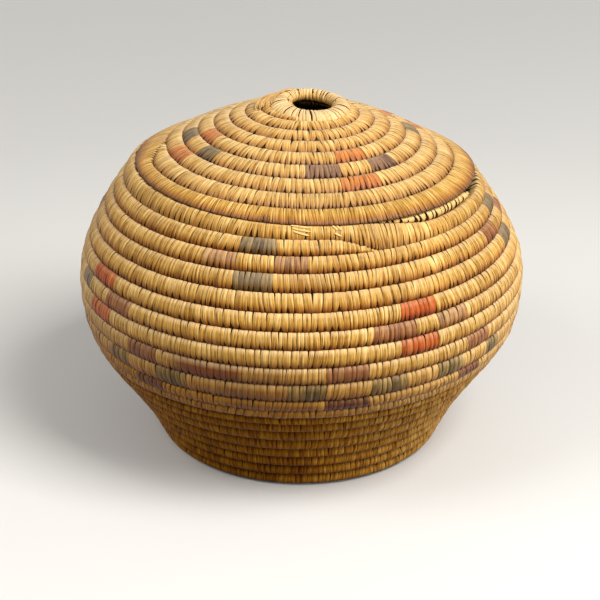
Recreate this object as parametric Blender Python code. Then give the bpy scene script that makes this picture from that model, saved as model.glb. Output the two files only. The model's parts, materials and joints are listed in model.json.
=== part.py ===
"""Lidded basket of coiled grass, with dyed block patterns.

The basket is one long bundle of grass, wound up in rows from the middle of the floor to the
mouth, each row stitched to the one below.  A level row finishes the foot, the mouth and the edge
of the lid, because the bundle itself climbs one row in each turn.  The lid is coiled the same way
from a finger ring down to its edge, and a collar under it drops into the mouth.

Units are metres.  +Z is up, the origin is in the middle of the ground face, and azimuths are
measured from the front (-Y) towards the right-hand side (+X).
"""
from math import cos, pi, radians, sin

import bmesh
import bpy
import numpy as np
from mathutils import Vector

MM = 0.001
FULL_TURN = 2 * pi
STEPS = 28                       # facets in a turn

# Body
BELLY_RADIUS = 114.3 * MM
BODY_HEIGHT = 148.0 * MM
BODY_RADIUS_SHARES = (0.649, 0.765, 0.857, 0.938, 1.0, 0.978, 0.876, 0.750)
BODY_HEIGHT_SHARES = (0.0, 0.192, 0.295, 0.395, 0.560, 0.712, 0.864, 1.0)
BODY_ROWS = 20
ROW_GROWTH_SHARE = 1.14          # top row's width over bottom row's
WALL_DEPTH = 5.0 * MM            # seam to seam, through the wall
WALL_BULGE = 1.7 * MM            # how far a row swells out of its seams, on each face
WALL_START_AZIMUTH = radians(-180)
WALL_FIRST_ROW = 0.5             # seam height at the start, in rows above the ground
LOWER_WALL_TURNS = 7
BELLY_TURNS = 5
SHOULDER_TURNS = 5
LAST_TURN_STEPS = 16             # facets of the wall's last turn, which ends at the front right
RUN_OUT_SHARE = 0.09             # part of a turn in which the bundle thins to nothing

# Foot and floor
FOOT_FACE_WIDTH = 5.2 * MM
FLOOR_LIFT = 1.0 * MM            # underside of the floor above the ground
FLOOR_DEPTH = 4.0 * MM
FLOOR_BULGE = 1.4 * MM
FLOOR_TURNS = 7
KNOT_RADIUS = 3.6 * MM
KNOT_SIDES = 14
KNOT_RINGS = 8

# Mouth
RIM_FACE_WIDTH = 6.4 * MM        # level top of the mouth row, which carries the lid
RIM_EDGE_DROP = 1.3 * MM         # rounding of the mouth row's outer top edge
RIM_OUTER_SHARES = (0.25, 0.5, 0.75)
RIM_INNER_SHARES = (0.7, 0.35)

# Lid
LID_SETBACK = 0.125 * MM         # lid's edge inside the mouth's outer edge
LID_RISE = 28.4 * MM             # edge seam to ring seam
LID_RADIUS_SHARES = (1.0, 0.80, 0.61, 0.43)
LID_HEIGHT_SHARES = (0.0, 0.289, 0.577, 0.792)
LID_ROWS = 8.5
LID_ROW_GROWTH_SHARE = 0.78      # innermost row's width over the outermost one's
LID_DEPTH = 3.0 * MM
LID_BULGE = 1.5 * MM
LID_START_AZIMUTH = radians(-90)
LID_FIRST_ROW = 0.75
LID_COIL_TURNS = LID_ROWS - LID_FIRST_ROW
LID_EDGE_FACE_WIDTH = 8.0 * MM
EDGE_OUTER_SHARES = (0.2, 0.5, 0.8)

# Finger ring
RING_TUBE_RADIUS = 4.1 * MM
RING_HOLE_RADIUS = 9.6 * MM
RING_RISE = 1.1 * MM             # middle of the ring above the seam that it sits in
TAIL_RADIUS = 1.9 * MM
TAIL_TIP_SHARE = 0.45            # tail's radius at its two ends over its middle
TAIL_FROM = radians(-45)
TAIL_TO = radians(-135)
TAIL_POINTS = 11
TAIL_ROUNDING_STEPS = 2

# Collar
COLLAR_TUBE_RADIUS = 3.3 * MM
COLLAR_PLAY = 2.4 * MM           # between the collar and the mouth

# Lift of the lid, for the axis of its joint
LID_AXIS_HEIGHT = BODY_HEIGHT

# Dyed bands and lashings
BAND_THICKNESS = 0.6 * MM
BAND_LAP_SHARE = 0.15            # bare part of a row above and below a band
LASHING_THICKNESS = 0.8 * MM

# Fits and facets
CLEARANCE = 0.3 * MM
BAND_CLEARANCE = 0.35 * MM
SEAM_GAP = 0.35 * MM
OUTER_SHARES = (0.3, 0.7)        # places across a row's outer face that carry a vertex
INNER_SHARES = (0.5,)
RING_SIDES = 10
CURVE_POINTS_PER_SPAN = 24

GRASS_COLOURS = {
    "straw": (0.56, 0.36, 0.13),
    "pale_straw": (0.72, 0.54, 0.28),
    "deep_straw": (0.47, 0.28, 0.09),
    "grey": (0.12, 0.11, 0.10),
    "mauve": (0.27, 0.15, 0.11),
    "brown": (0.21, 0.08, 0.04),
    "orange": (0.55, 0.16, 0.04),
    "green": (0.18, 0.18, 0.08),
    "rust": (0.30, 0.08, 0.03),
}

# Dyed diamonds: name, number of the top band's row at the front, azimuths in degrees where the
# top, left, right and bottom bands begin and end, and their colours.
PATCHES = ("top", "left", "right", "bottom")
BODY_DIAMONDS = (
    ("upper_front", 18, ((-17.5, -7), (-27.5, -17.5), (-7, 2), (-17.5, -7)),
     ("grey", "mauve", "mauve", "grey")),
    ("upper_right", 17, ((73, 82.5), (62, 70.5), (81.5, 89.5), (71, 80)),
     ("grey", "brown", "brown", "grey")),
    ("middle_left", 14, ((-65, -54), (-73.5, -66), (-56, -46), (-64.5, -54)),
     ("orange", "grey", "brown", "orange")),
    ("middle_right", 14, ((24.5, 34.5), (17, 28), (34.5, 43.5), (24, 34)),
     ("orange", "brown", "mauve", "rust")),
    ("lower_left", 11, ((-46, -36.5), (-55, -47), (-37, -28), (-45, -36)),
     ("brown", "green", "green", "rust")),
    ("lower_front", 11, ((6, 16), (-3, 6), (17, 26), (6, 17)),
     ("brown", "green", "green", "rust")),
    ("lower_right", 11, ((44, 52), (35, 43), (52.5, 58), (43, 51)),
     ("brown", "green", "green", "mauve")),
)
LID_DIAMONDS = (
    ("lid_left", 4, ((-75, -61), (-89, -75), (-60, -48), (-75, -61)),
     ("orange", "grey", "grey", "orange")),
    ("lid_front", 4, ((17, 35), (0, 17), (33, 48), (15, 33)),
     ("orange", "brown", "mauve", "orange")),
    ("lid_back", 4, ((104, 120), (89, 104), (121, 136), (104, 120)),
     ("orange", "grey", "grey", "orange")),
)

# Lashings on the mouth row, azimuths in degrees
RIM_LASHINGS = (("rim_lashing_front", (-1.5, 4)), ("rim_lashing_right", (10.5, 14)))


def smooth_line(points):
    """Points close together on a smooth curve (Catmull-Rom) through the given ones."""
    ends = [2 * points[0] - points[1]] + list(points) + [2 * points[-1] - points[-2]]
    line = []
    for before, first, second, after in zip(ends, ends[1:], ends[2:], ends[3:]):
        for part in np.arange(CURVE_POINTS_PER_SPAN) / CURVE_POINTS_PER_SPAN:
            line.append(
                0.5 * (2 * first + (second - before) * part
                       + (2 * before - 5 * first + 4 * second - after) * part ** 2
                       + (3 * first - before - 3 * second + after) * part ** 3))
    return np.array(line + [points[-1]])


class Outline:
    """A (radius, height) profile through the seams, marked off in rows from its lower end."""

    def __init__(self, points, rows, growth=1.0):
        self.line = smooth_line([np.array(point) for point in points])
        steps = np.linalg.norm(np.diff(self.line, axis=0), axis=1)
        self.along = np.concatenate(([0.0], np.cumsum(steps)))
        self.length = self.along[-1]
        self.first_pitch = 2 * self.length / (rows * (1 + growth))
        self.pitch_gain = self.first_pitch * (growth - 1) / rows

    def distance(self, row):
        return self.first_pitch * row + self.pitch_gain * row ** 2 / 2

    def point(self, distance):
        return np.array([np.interp(distance, self.along, self.line[:, axis]) for axis in (0, 1)])

    def normal(self, distance):
        reach = self.first_pitch / 2
        ahead = self.point(min(distance + reach, self.length))
        behind = self.point(max(distance - reach, 0))
        radial, vertical = (ahead - behind) / np.linalg.norm(ahead - behind)
        return np.array([vertical, -radial])

    def at(self, row, lift, shift=0):
        """The point on a row, lifted off the seam line and shifted along it."""
        distance = self.distance(row) + shift
        return self.point(distance) + lift * self.normal(distance)


def around(profile_point, azimuth):
    radius, height = profile_point
    return Vector((radius * sin(azimuth), -radius * cos(azimuth), height))


def smooth_step(share):
    share = min(max(share, 0), 1)
    return share * share * (3 - 2 * share)


class Coil:
    """One length of the bundle, laid in rows that climb one row a turn towards the right.

    Seam 0 lies under the start, and seam g lies g facets further along.  The row at facet i
    is between seams i and i + STEPS.  An end is "butt", "thinned" or "level": cut square,
    thinned to nothing within a short run, or thinned over a whole turn so that its edge is level.
    """

    def __init__(self, outline, depth, bulge, start_azimuth, first_row, turns, start, end,
                 lowest=0):
        self.outline = outline
        self.lowest = lowest
        self.depth = depth
        self.bulge = bulge
        self.start_azimuth = start_azimuth
        self.first_row = first_row
        self.count = round(turns * STEPS)
        self.start = start
        self.end = end

    def azimuth(self, seam):
        play = SEAM_GAP / BELLY_RADIUS if self.start == "butt" and seam in (0, STEPS) else 0
        return self.start_azimuth + seam / STEPS * FULL_TURN + play

    def height_share(self, kind, turn_from_end):
        if kind == "butt":
            return 1
        return 0 if kind == "level" else smooth_step(turn_from_end / RUN_OUT_SHARE)

    def seam_row(self, seam):
        """Row number of a seam, counted from the lower end of the outline."""
        turn = seam / STEPS
        last = self.count / STEPS
        if seam < STEPS:
            turn = 1 - (1 - turn) * self.height_share(self.start, turn)
        if seam > self.count:
            over = turn - last
            turn = last + over * self.height_share(self.end, 1 - over)
        return self.first_row + turn

    def section(self, facet, share, side):
        """A profile point across the row: share 0 is its lower seam, 1 is its upper one."""
        low, high = self.seam_row(facet), self.seam_row(facet + STEPS)
        swell = self.bulge * sin(pi * share) * min(1, high - low)
        lift = swell if side == "outer" else -self.depth - swell
        shift = self.seam_shift(facet) * (1 - share) + self.seam_shift(facet + STEPS) * share
        return self.clear_of_seat(self.outline.at(low + (high - low) * share, lift, shift))

    def seam_shift(self, seam):
        return -SEAM_GAP if seam >= self.count else 0

    def seam_point(self, seam, side):
        lift = 0 if side == "outer" else -self.depth
        place = self.outline.at(self.seam_row(seam), lift, self.seam_shift(seam))
        return around(self.clear_of_seat(place), self.azimuth(seam))

    def clear_of_seat(self, place):
        return place[0], max(place[1], self.lowest)

    def seam_name(self, seam):
        """Seams that meet where an end has thinned to nothing share one vertex."""
        if seam == 0 and self.start != "butt":
            return STEPS
        if seam == self.count + STEPS and self.end != "butt":
            return self.count
        return seam

    def column(self, facet, side="outer"):
        """Places across one facet line of a row, from the lower seam to the upper one."""
        shares = OUTER_SHARES if side == "outer" else INNER_SHARES
        middle = [around(self.section(facet, share, side), self.azimuth(facet)) for share in shares]
        return [self.seam_point(facet, side)] + middle + [self.seam_point(facet + STEPS, side)]

    def build(self, name, material, collection, parent=None):
        mesh = bmesh.new()
        seams = {}
        for seam in range(self.count + STEPS + 1):
            for side in ("outer", "inner"):
                if self.seam_name(seam) == seam:
                    seams[seam, side] = mesh.verts.new(self.seam_point(seam, side))
        columns = {side: [] for side in ("outer", "inner")}
        for facet in range(self.count + 1):
            low, high = self.seam_name(facet), self.seam_name(facet + STEPS)
            for side, row in columns.items():
                if low == high:
                    row.append([seams[low, side]])
                    continue
                middle = [mesh.verts.new(place) for place in self.column(facet, side)[1:-1]]
                row.append([seams[low, side]] + middle + [seams[high, side]])
        for row in columns.values():
            for left, right in zip(row, row[1:]):
                skin(mesh, left, right)
        for first in list(range(STEPS)) + list(range(self.count, self.count + STEPS)):
            here, ahead = self.seam_name(first), self.seam_name(first + 1)
            skin(mesh, [seams[here, "outer"], seams[here, "inner"]],
                 [seams[ahead, "outer"], seams[ahead, "inner"]])
        for end in (0, -1):
            outer, inner = columns["outer"][end], columns["inner"][end]
            if len(outer) > 1:
                mesh.faces.new(outer + inner[::-1])
        return finish_mesh(mesh, name, material, collection, parent)


def skin(mesh, left, right):
    """Fill between two columns of vertices; a column of one vertex makes a fan."""
    if len(left) == 1:
        for low, high in zip(right, right[1:]):
            mesh.faces.new((left[0], low, high))
    elif len(right) == 1:
        for low, high in zip(left, left[1:]):
            mesh.faces.new((right[0], high, low))
    else:
        for low, high, far_high, far_low in zip(left, left[1:], right[1:], right):
            mesh.faces.new((low, far_low, far_high, high))


def finish_mesh(mesh, name, material, collection, parent=None):
    """Turn the faces outwards and put the solid in the basket's collection."""
    bmesh.ops.triangulate(mesh, faces=mesh.faces)
    bmesh.ops.recalc_face_normals(mesh, faces=mesh.faces)
    if mesh.calc_volume(signed=True) < 0:
        bmesh.ops.reverse_faces(mesh, faces=mesh.faces)
    data = bpy.data.meshes.new(name)
    mesh.to_mesh(data)
    mesh.free()
    piece = bpy.data.objects.new(name, data)
    collection.objects.link(piece)
    dress(piece, material, parent)
    return piece


def dress(piece, material, parent=None):
    """Give a piece its material and soft shading, and hang it on its parent."""
    piece.data.materials.clear()
    piece.data.materials.append(material)
    piece.data.shade_smooth()
    piece.data.set_sharp_from_angle(angle=radians(55))
    if parent:
        piece.parent = parent
        piece.matrix_parent_inverse = parent.matrix_world.inverted()


def adopt(piece, name, collection):
    """Name the piece that a primitive call made, and move it to the basket's collection."""
    for holder in list(piece.users_collection):
        holder.objects.unlink(piece)
    collection.objects.link(piece)
    piece.name = name
    piece.data.name = name


def ring_solid(name, section, material, collection, parent=None):
    """Loft a closed ring through the sections that a function gives for each facet line."""
    mesh = bmesh.new()
    loops = []
    for step in range(STEPS):
        azimuth, points = section(step)
        loops.append([mesh.verts.new(around(point, azimuth)) for point in points])
    for loop, ahead in zip(loops, loops[1:] + loops[:1]):
        skin(mesh, loop + loop[:1], ahead + ahead[:1])
    return finish_mesh(mesh, name, material, collection, parent)


def torus(name, major_radius, tube_radius, height, material, collection, parent=None):
    bpy.ops.mesh.primitive_torus_add(
        major_segments=STEPS, minor_segments=RING_SIDES,
        major_radius=major_radius, minor_radius=tube_radius, location=(0, 0, height))
    piece = bpy.context.object
    adopt(piece, name, collection)
    dress(piece, material, parent)
    return piece


def band_solid(name, places, thickness, material, collection, parent=None):
    """A thin sleeve over a row.

    places is a list of columns; each column has the coil's middle and the surface points
    across the row.  The sleeve clears the surface and follows its facets.
    """
    mesh = bmesh.new()
    inner, outer = [], []
    for middle, points in places:
        directions = [(point - middle).normalized() for point in points]
        inner.append([mesh.verts.new(point + direction * BAND_CLEARANCE)
                      for point, direction in zip(points, directions)])
        outer.append([mesh.verts.new(point + direction * (BAND_CLEARANCE + thickness))
                      for point, direction in zip(points, directions)])
    loops = [low + high[::-1] for low, high in zip(inner, outer)]
    for loop, ahead in zip(loops, loops[1:]):
        skin(mesh, loop + loop[:1], ahead + ahead[:1])
    skin(mesh, outer[0], inner[0])
    skin(mesh, inner[-1], outer[-1])
    return finish_mesh(mesh, name, material, collection, parent)


def row_places(coil, row, from_degrees, to_degrees):
    """Columns for a band on a coil's row, between two azimuths.

    row is the row number at the front, counted from the lower end of the outline.
    """
    def facet_at(degrees):
        climb = row + degrees / 360 - coil.first_row
        return climb * STEPS

    first, last = facet_at(from_degrees), facet_at(to_degrees)
    facets = [first] + list(range(int(first) + 1, int(np.ceil(last)))) + [last]
    places = []
    for facet in facets:
        low = min(int(facet), coil.count - 1)
        part = facet - low
        near, far = coil.column(low), coil.column(low + 1)
        across = [here.lerp(there, part) for here, there in zip(near, far)]
        core = [around(coil.section(step, 0.5, "outer"), coil.azimuth(step)).lerp(
            around(coil.section(step, 0.5, "inner"), coil.azimuth(step)), 0.5)
            for step in (low, low + 1)]
        lap = BAND_LAP_SHARE / OUTER_SHARES[0]
        points = [across[0].lerp(across[1], lap)] + across[1:-1] + [across[-1].lerp(across[-2], lap)]
        places.append((core[0].lerp(core[1], part), points))
    return places


def clear_scene():
    for piece in list(bpy.data.objects):
        bpy.data.objects.remove(piece)


def new_collection(name):
    collection = bpy.data.collections.new(name)
    bpy.context.scene.collection.children.link(collection)
    return collection


def grass(name, colour, roughness=0.55):
    """Dry split grass: a satin surface without metal."""
    material = bpy.data.materials.new(name)
    material.use_nodes = True
    shader = material.node_tree.nodes["Principled BSDF"]
    shader.inputs["Base Color"].default_value = (*colour, 1)
    shader.inputs["Roughness"].default_value = roughness
    shader.inputs["Metallic"].default_value = 0
    material.diffuse_color = (*colour, 1)
    return material


def body_outline():
    points = [(radius * BELLY_RADIUS, height * BODY_HEIGHT)
              for radius, height in zip(BODY_RADIUS_SHARES, BODY_HEIGHT_SHARES)]
    return Outline(points, BODY_ROWS, ROW_GROWTH_SHARE)


def lid_radius():
    return BELLY_RADIUS * BODY_RADIUS_SHARES[-1] - LID_SETBACK


def lid_outline():
    seat = BODY_HEIGHT + CLEARANCE
    points = [(radius * lid_radius(), seat + height * LID_RISE)
              for radius, height in zip(LID_RADIUS_SHARES, LID_HEIGHT_SHARES)]
    reach = ((RING_TUBE_RADIUS + CLEARANCE) ** 2 - RING_RISE ** 2) ** 0.5
    points.append((RING_HOLE_RADIUS + RING_TUBE_RADIUS + reach, seat + LID_RISE))
    return Outline(points, LID_ROWS, LID_ROW_GROWTH_SHARE)


def wall_lengths(outline):
    """The wall's coil in three lengths, which follow on from each other."""
    lengths = []
    azimuth, row = WALL_START_AZIMUTH, WALL_FIRST_ROW
    ends = (("thinned", "butt"), ("butt", "butt"), ("butt", "thinned"))
    shoulder_turns = SHOULDER_TURNS + LAST_TURN_STEPS / STEPS
    for turns, (start, end) in zip((LOWER_WALL_TURNS, BELLY_TURNS, shoulder_turns), ends):
        lengths.append(Coil(outline, WALL_DEPTH, WALL_BULGE, azimuth, row, turns, start, end))
        azimuth += turns * FULL_TURN
        row += turns
    return lengths


def foot_section(wall):
    """The level row on the ground: flat below, and as high as the first seam of the wall."""
    outline = wall.outline
    ground_radius = outline.point(0)[0]

    def section(step):
        top = wall.seam_row(step)
        sides = [outline.at(top * share, WALL_BULGE * sin(pi * share)) for share in OUTER_SHARES]
        crown = [outline.at(top, 0, -SEAM_GAP), outline.at(top, -WALL_DEPTH, -SEAM_GAP)]
        inner_radius = ground_radius - FOOT_FACE_WIDTH
        back = inner_radius, min(FLOOR_LIFT + FLOOR_BULGE + FLOOR_DEPTH, crown[1][1])
        ground = (ground_radius, 0), (inner_radius, 0)
        return wall.azimuth(step), [ground[0]] + sides + crown + [back, ground[1]]
    return section


def rim_section(wall):
    """The level row at the mouth, from the last seam of the wall to the seat of the lid."""
    outline = wall.outline
    outer_radius = outline.point(outline.length)[0]
    seat_radius = outer_radius - RIM_EDGE_DROP

    def section(step):
        seam = wall.count + step
        low = wall.seam_row(seam)
        height = BODY_ROWS - low
        front = [outline.at(low + height * share, WALL_BULGE * sin(pi * share))
                 for share in RIM_OUTER_SHARES]
        back = [outline.at(low + height * share, -WALL_DEPTH - WALL_BULGE * sin(pi * share))
                for share in RIM_INNER_SHARES]
        top = [(outer_radius, BODY_HEIGHT - RIM_EDGE_DROP), (seat_radius, BODY_HEIGHT),
               (seat_radius - RIM_FACE_WIDTH, BODY_HEIGHT)]
        seams = outline.at(low, 0), outline.at(low, -WALL_DEPTH)
        return wall.azimuth(seam), [seams[0]] + front + top + back + [seams[1]]
    return section


def lid_edge_section(lid):
    """The level row round the lid: flat below, where it rests on the mouth."""
    outline = lid.outline
    seat = outline.point(0)[1]

    def section(step):
        top = lid.seam_row(step)
        front = [outline.at(top * share, LID_BULGE * sin(pi * share)) for share in EDGE_OUTER_SHARES]
        inner_radius, inner_height = outline.at(top, -LID_DEPTH, -SEAM_GAP)
        crown = [outline.at(top, 0, -SEAM_GAP), (inner_radius, max(inner_height, lid.lowest))]
        back_radius = max(inner_radius, lid_radius() - LID_EDGE_FACE_WIDTH)
        return lid.azimuth(step), [(lid_radius(), seat)] + front + crown + [(back_radius, seat)]
    return section


def ring_places(section, first_azimuth, from_degrees, to_degrees, across):
    """Columns for a band on a level row; across picks the surface points of its section."""
    def places_at(step):
        azimuth, points = section(step % STEPS)
        middle = np.mean(np.array(points), axis=0)
        return around(middle, azimuth), [around(points[index], azimuth) for index in across]

    first, last = [(radians(degrees) - first_azimuth) / FULL_TURN * STEPS % STEPS
                   for degrees in (from_degrees, to_degrees)]
    steps = [first] + list(range(int(first) + 1, int(np.ceil(last)))) + [last]
    columns = []
    for step in steps:
        low = int(step)
        (core, near), (far_core, far) = places_at(low), places_at(low + 1)
        points = [here.lerp(there, step - low) for here, there in zip(near, far)]
        points[0] = points[0].lerp(points[1], BAND_LAP_SHARE / RIM_OUTER_SHARES[0])
        columns.append((core.lerp(far_core, step - low), points))
    return columns


def build_floor(outline, collection, grasses):
    """The flat spiral that the basket starts from, and the knot in its middle."""
    outer_radius = outline.point(0)[0] - FOOT_FACE_WIDTH - CLEARANCE
    inner_radius = KNOT_RADIUS + CLEARANCE
    seam_height = FLOOR_LIFT + FLOOR_BULGE
    line = Outline([(inner_radius, seam_height), (outer_radius, seam_height)], FLOOR_TURNS)
    floor = Coil(line, FLOOR_DEPTH, FLOOR_BULGE, WALL_START_AZIMUTH, -1, FLOOR_TURNS + 1,
                 "level", "level")
    floor.build("floor_coil", grasses["deep_straw"], collection)
    bpy.ops.mesh.primitive_uv_sphere_add(
        segments=KNOT_SIDES, ring_count=KNOT_RINGS, radius=KNOT_RADIUS,
        location=(0, 0, seam_height + FLOOR_DEPTH / 2))
    knot = bpy.context.object
    adopt(knot, "floor_knot", collection)
    dress(knot, grasses["deep_straw"])


def build_body(collection, grasses):
    outline = body_outline()
    lower, belly, shoulder = wall_lengths(outline)
    straw = grasses["straw"]
    build_floor(outline, collection, grasses)
    ring_solid("foot_coil", foot_section(lower), straw, collection)
    lower.build("lower_wall_coil", straw, collection)
    belly.build("belly_coil", straw, collection)
    shoulder.build("shoulder_coil", straw, collection)
    rim = rim_section(shoulder)
    ring_solid("rim_coil", rim, straw, collection)
    for name, azimuths in RIM_LASHINGS:
        places = ring_places(rim, shoulder.azimuth(shoulder.count), *azimuths, across=(0, 1, 2, 3))
        band_solid(name, places, LASHING_THICKNESS, grasses["pale_straw"], collection)
    for name, top_row, azimuths, colours in BODY_DIAMONDS:
        for patch, row, limits, colour in diamond(top_row, azimuths, colours):
            coil = shoulder if row >= shoulder.first_row else belly
            places = row_places(coil, row, *limits)
            band_solid(f"{name}_{patch}", places, BAND_THICKNESS, grasses[colour], collection)


def diamond(top_row, azimuths, colours):
    """The four bands of one dyed diamond: the side ones are a row lower than the top one."""
    rows = (top_row, top_row - 1, top_row - 1, top_row - 2)
    return zip(PATCHES, rows, azimuths, colours)


def build_ring(collection, grasses, lid_axis, seam_height):
    """The finger ring, and the tail of its bundle laid along its left side."""
    ring_radius = RING_HOLE_RADIUS + RING_TUBE_RADIUS
    ring_height = seam_height + RING_RISE
    torus("lid_ring", ring_radius, RING_TUBE_RADIUS, ring_height,
          grasses["straw"], collection, lid_axis)
    tail_height = seam_height + LID_BULGE + CLEARANCE + TAIL_RADIUS
    reach = RING_TUBE_RADIUS + TAIL_RADIUS + CLEARANCE
    tail_radius = ring_radius + (reach ** 2 - (tail_height - ring_height) ** 2) ** 0.5
    curve = bpy.data.curves.new("ring_tail", "CURVE")
    curve.dimensions = "3D"
    curve.bevel_depth = TAIL_RADIUS
    curve.bevel_resolution = TAIL_ROUNDING_STEPS
    curve.use_fill_caps = True
    spline = curve.splines.new("POLY")
    spline.points.add(TAIL_POINTS - 1)
    for index, point in enumerate(spline.points):
        part = index / (TAIL_POINTS - 1)
        azimuth = TAIL_FROM + (TAIL_TO - TAIL_FROM) * part
        point.co = (*around((tail_radius, tail_height), azimuth), 1)
        point.radius = TAIL_TIP_SHARE + (1 - TAIL_TIP_SHARE) * sin(pi * part)
    tail = bpy.data.objects.new("ring_tail", curve)
    collection.objects.link(tail)
    curve.materials.append(grasses["straw"])
    tail.parent = lid_axis
    tail.matrix_parent_inverse = lid_axis.matrix_world.inverted()


def build_collar(lid, mouth_radius, collection, grasses, lid_axis):
    """The ring under the lid that keeps it in the mouth, stitched to the lid's underside."""
    collar_radius = mouth_radius - COLLAR_PLAY - COLLAR_TUBE_RADIUS
    drop = LID_DEPTH + LID_BULGE + CLEARANCE + COLLAR_TUBE_RADIUS
    rows = np.linspace(0, LID_ROWS, CURVE_POINTS_PER_SPAN ** 2)
    places = [lid.outline.at(row, -drop) for row in rows]
    height = min(places, key=lambda place: abs(place[0] - collar_radius))[1]
    torus("lid_collar_coil", collar_radius, COLLAR_TUBE_RADIUS, height,
          grasses["pale_straw"], collection, lid_axis)


def build_lid(collection, grasses):
    lid_axis = bpy.data.objects.new("lid_axis", None)
    lid_axis.location = (0, 0, LID_AXIS_HEIGHT)
    collection.objects.link(lid_axis)
    bpy.context.view_layer.update()
    outline = lid_outline()
    lid = Coil(outline, LID_DEPTH, LID_BULGE, LID_START_AZIMUTH, LID_FIRST_ROW, LID_COIL_TURNS,
               "thinned", "level", lowest=BODY_HEIGHT + 2 * CLEARANCE)
    lid.build("lid_coil", grasses["straw"], collection, lid_axis)
    ring_solid("lid_edge_coil", lid_edge_section(lid), grasses["straw"], collection, lid_axis)
    build_ring(collection, grasses, lid_axis, outline.point(outline.length)[1])
    body = body_outline()
    mouth_radius = body.point(body.length)[0] - RIM_EDGE_DROP - RIM_FACE_WIDTH
    build_collar(lid, mouth_radius, collection, grasses, lid_axis)
    for name, top_row, azimuths, colours in LID_DIAMONDS:
        for patch, row, limits, colour in diamond(top_row, azimuths, colours):
            places = row_places(lid, row, *limits)
            band_solid(f"{name}_{patch}", places, BAND_THICKNESS, grasses[colour], collection,
                       lid_axis)


def main():
    clear_scene()
    collection = new_collection("coiled_basket")
    grasses = {name: grass(name, colour) for name, colour in GRASS_COLOURS.items()}
    build_body(collection, grasses)
    build_lid(collection, grasses)


main()
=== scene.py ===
"""Looks of a lidded basket of coiled grass: every stitch, the bundles under them, and the stage.

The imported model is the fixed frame.  Rows, seams and bands are worked out here in the way that
the model works them out, in metres, and each stitch is laid between two seams of a row.
Azimuths are measured from the front (-Y) towards the right-hand side (+X).
"""
import json
import random
from math import ceil, cos, degrees, pi, radians, sin, tau

import bpy
import numpy as np
from mathutils import Matrix, Vector

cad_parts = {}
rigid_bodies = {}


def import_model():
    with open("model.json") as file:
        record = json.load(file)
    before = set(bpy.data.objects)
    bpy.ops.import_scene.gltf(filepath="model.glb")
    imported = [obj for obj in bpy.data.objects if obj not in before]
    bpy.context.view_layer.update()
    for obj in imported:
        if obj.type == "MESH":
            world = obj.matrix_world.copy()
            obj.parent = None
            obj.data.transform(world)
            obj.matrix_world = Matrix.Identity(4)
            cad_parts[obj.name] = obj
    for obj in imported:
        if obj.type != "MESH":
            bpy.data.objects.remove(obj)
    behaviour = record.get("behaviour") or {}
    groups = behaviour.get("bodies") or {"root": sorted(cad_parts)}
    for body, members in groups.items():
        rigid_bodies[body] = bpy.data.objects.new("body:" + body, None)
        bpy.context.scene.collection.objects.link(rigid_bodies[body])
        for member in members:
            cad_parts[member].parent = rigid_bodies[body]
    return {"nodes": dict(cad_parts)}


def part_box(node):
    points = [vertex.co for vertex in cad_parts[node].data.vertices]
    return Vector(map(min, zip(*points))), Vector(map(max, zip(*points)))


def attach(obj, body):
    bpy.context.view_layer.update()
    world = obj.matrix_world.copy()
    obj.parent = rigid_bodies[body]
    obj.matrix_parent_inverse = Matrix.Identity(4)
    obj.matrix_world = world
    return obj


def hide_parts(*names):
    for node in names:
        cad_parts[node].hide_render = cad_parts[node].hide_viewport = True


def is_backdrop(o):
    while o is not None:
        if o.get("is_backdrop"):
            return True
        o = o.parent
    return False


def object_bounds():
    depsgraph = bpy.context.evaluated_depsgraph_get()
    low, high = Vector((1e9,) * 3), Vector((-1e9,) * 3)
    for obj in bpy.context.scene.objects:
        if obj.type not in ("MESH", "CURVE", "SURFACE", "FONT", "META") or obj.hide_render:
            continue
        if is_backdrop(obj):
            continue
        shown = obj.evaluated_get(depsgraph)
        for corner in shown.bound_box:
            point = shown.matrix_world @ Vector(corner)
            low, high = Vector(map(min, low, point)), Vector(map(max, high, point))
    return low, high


bl_info = {
    "name": "Coiled Grass Basket",
    "version": (1, 0, 0),
    "blender": (4, 5, 0),
    "location": "3D View > Sidebar > Basket",
    "description": "Stitches a lidded coiled basket over its packed model",
    "category": "Object",
}

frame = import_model()
MODEL_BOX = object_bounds()

MM = 0.001

# Body, as the model has it
BELLY_RADIUS = 114.3 * MM
BODY_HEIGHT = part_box("rim_coil")[1].z
BODY_RADIUS_SHARES = (0.649, 0.765, 0.857, 0.938, 1.0, 0.978, 0.876, 0.750)
BODY_HEIGHT_SHARES = (0.0, 0.192, 0.295, 0.395, 0.560, 0.712, 0.864, 1.0)
BODY_ROWS = 20
BODY_GROWTH_SHARE = 1.14
WALL_DEPTH = 5.0 * MM
WALL_BULGE = 1.7 * MM
WALL_START = -pi
WALL_FIRST_ROW = 0.5
WALL_TURNS = 17 + 16 / 28
# The stitched rows are a little higher or lower than even spacing has them: row, shift in rows
SEAM_SHIFTS = ((0, 4.5, 6, 7, 8, 9, 10, 11, 12, 13, 15, 16, 17, 18, 19, 20),
               (0, 0, 0.4, 0.4, 0.2, -0.18, -0.36, -0.12, -0.04, 0.04, 0.06, 0.11, 0.13, 0.1,
                0.06, 0))
WALL_PARTS = (("lower_wall_coil", 0, 7), ("belly_coil", 7, 12), ("shoulder_coil", 12, WALL_TURNS))
RUN_OUT_SHARE = 0.05             # of a turn, over which a thinned end runs out
THINNEST = 0.3                   # share of its half depth that a row has where it has no height
THINNING_HEIGHT = 1.3            # in half depths: rows lower than about this are thinned
SAG_AZIMUTHS = (16, 104)         # where the mouth row sags below the lid, in degrees
SAG_ROWS = 0.7
SAG_SLOPE = 3                    # how soon it has sagged in full, from both ends
LIP_AZIMUTHS = (22, 74)          # where a thin coil shows in that gap
LIP_SLOPE = 4                    # how soon that coil has its full height
LIP_SETBACK = 1.5 * MM
BUNDLE_INSET = 0.4 * MM          # the stitches alone reach the ground and the seat

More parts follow.
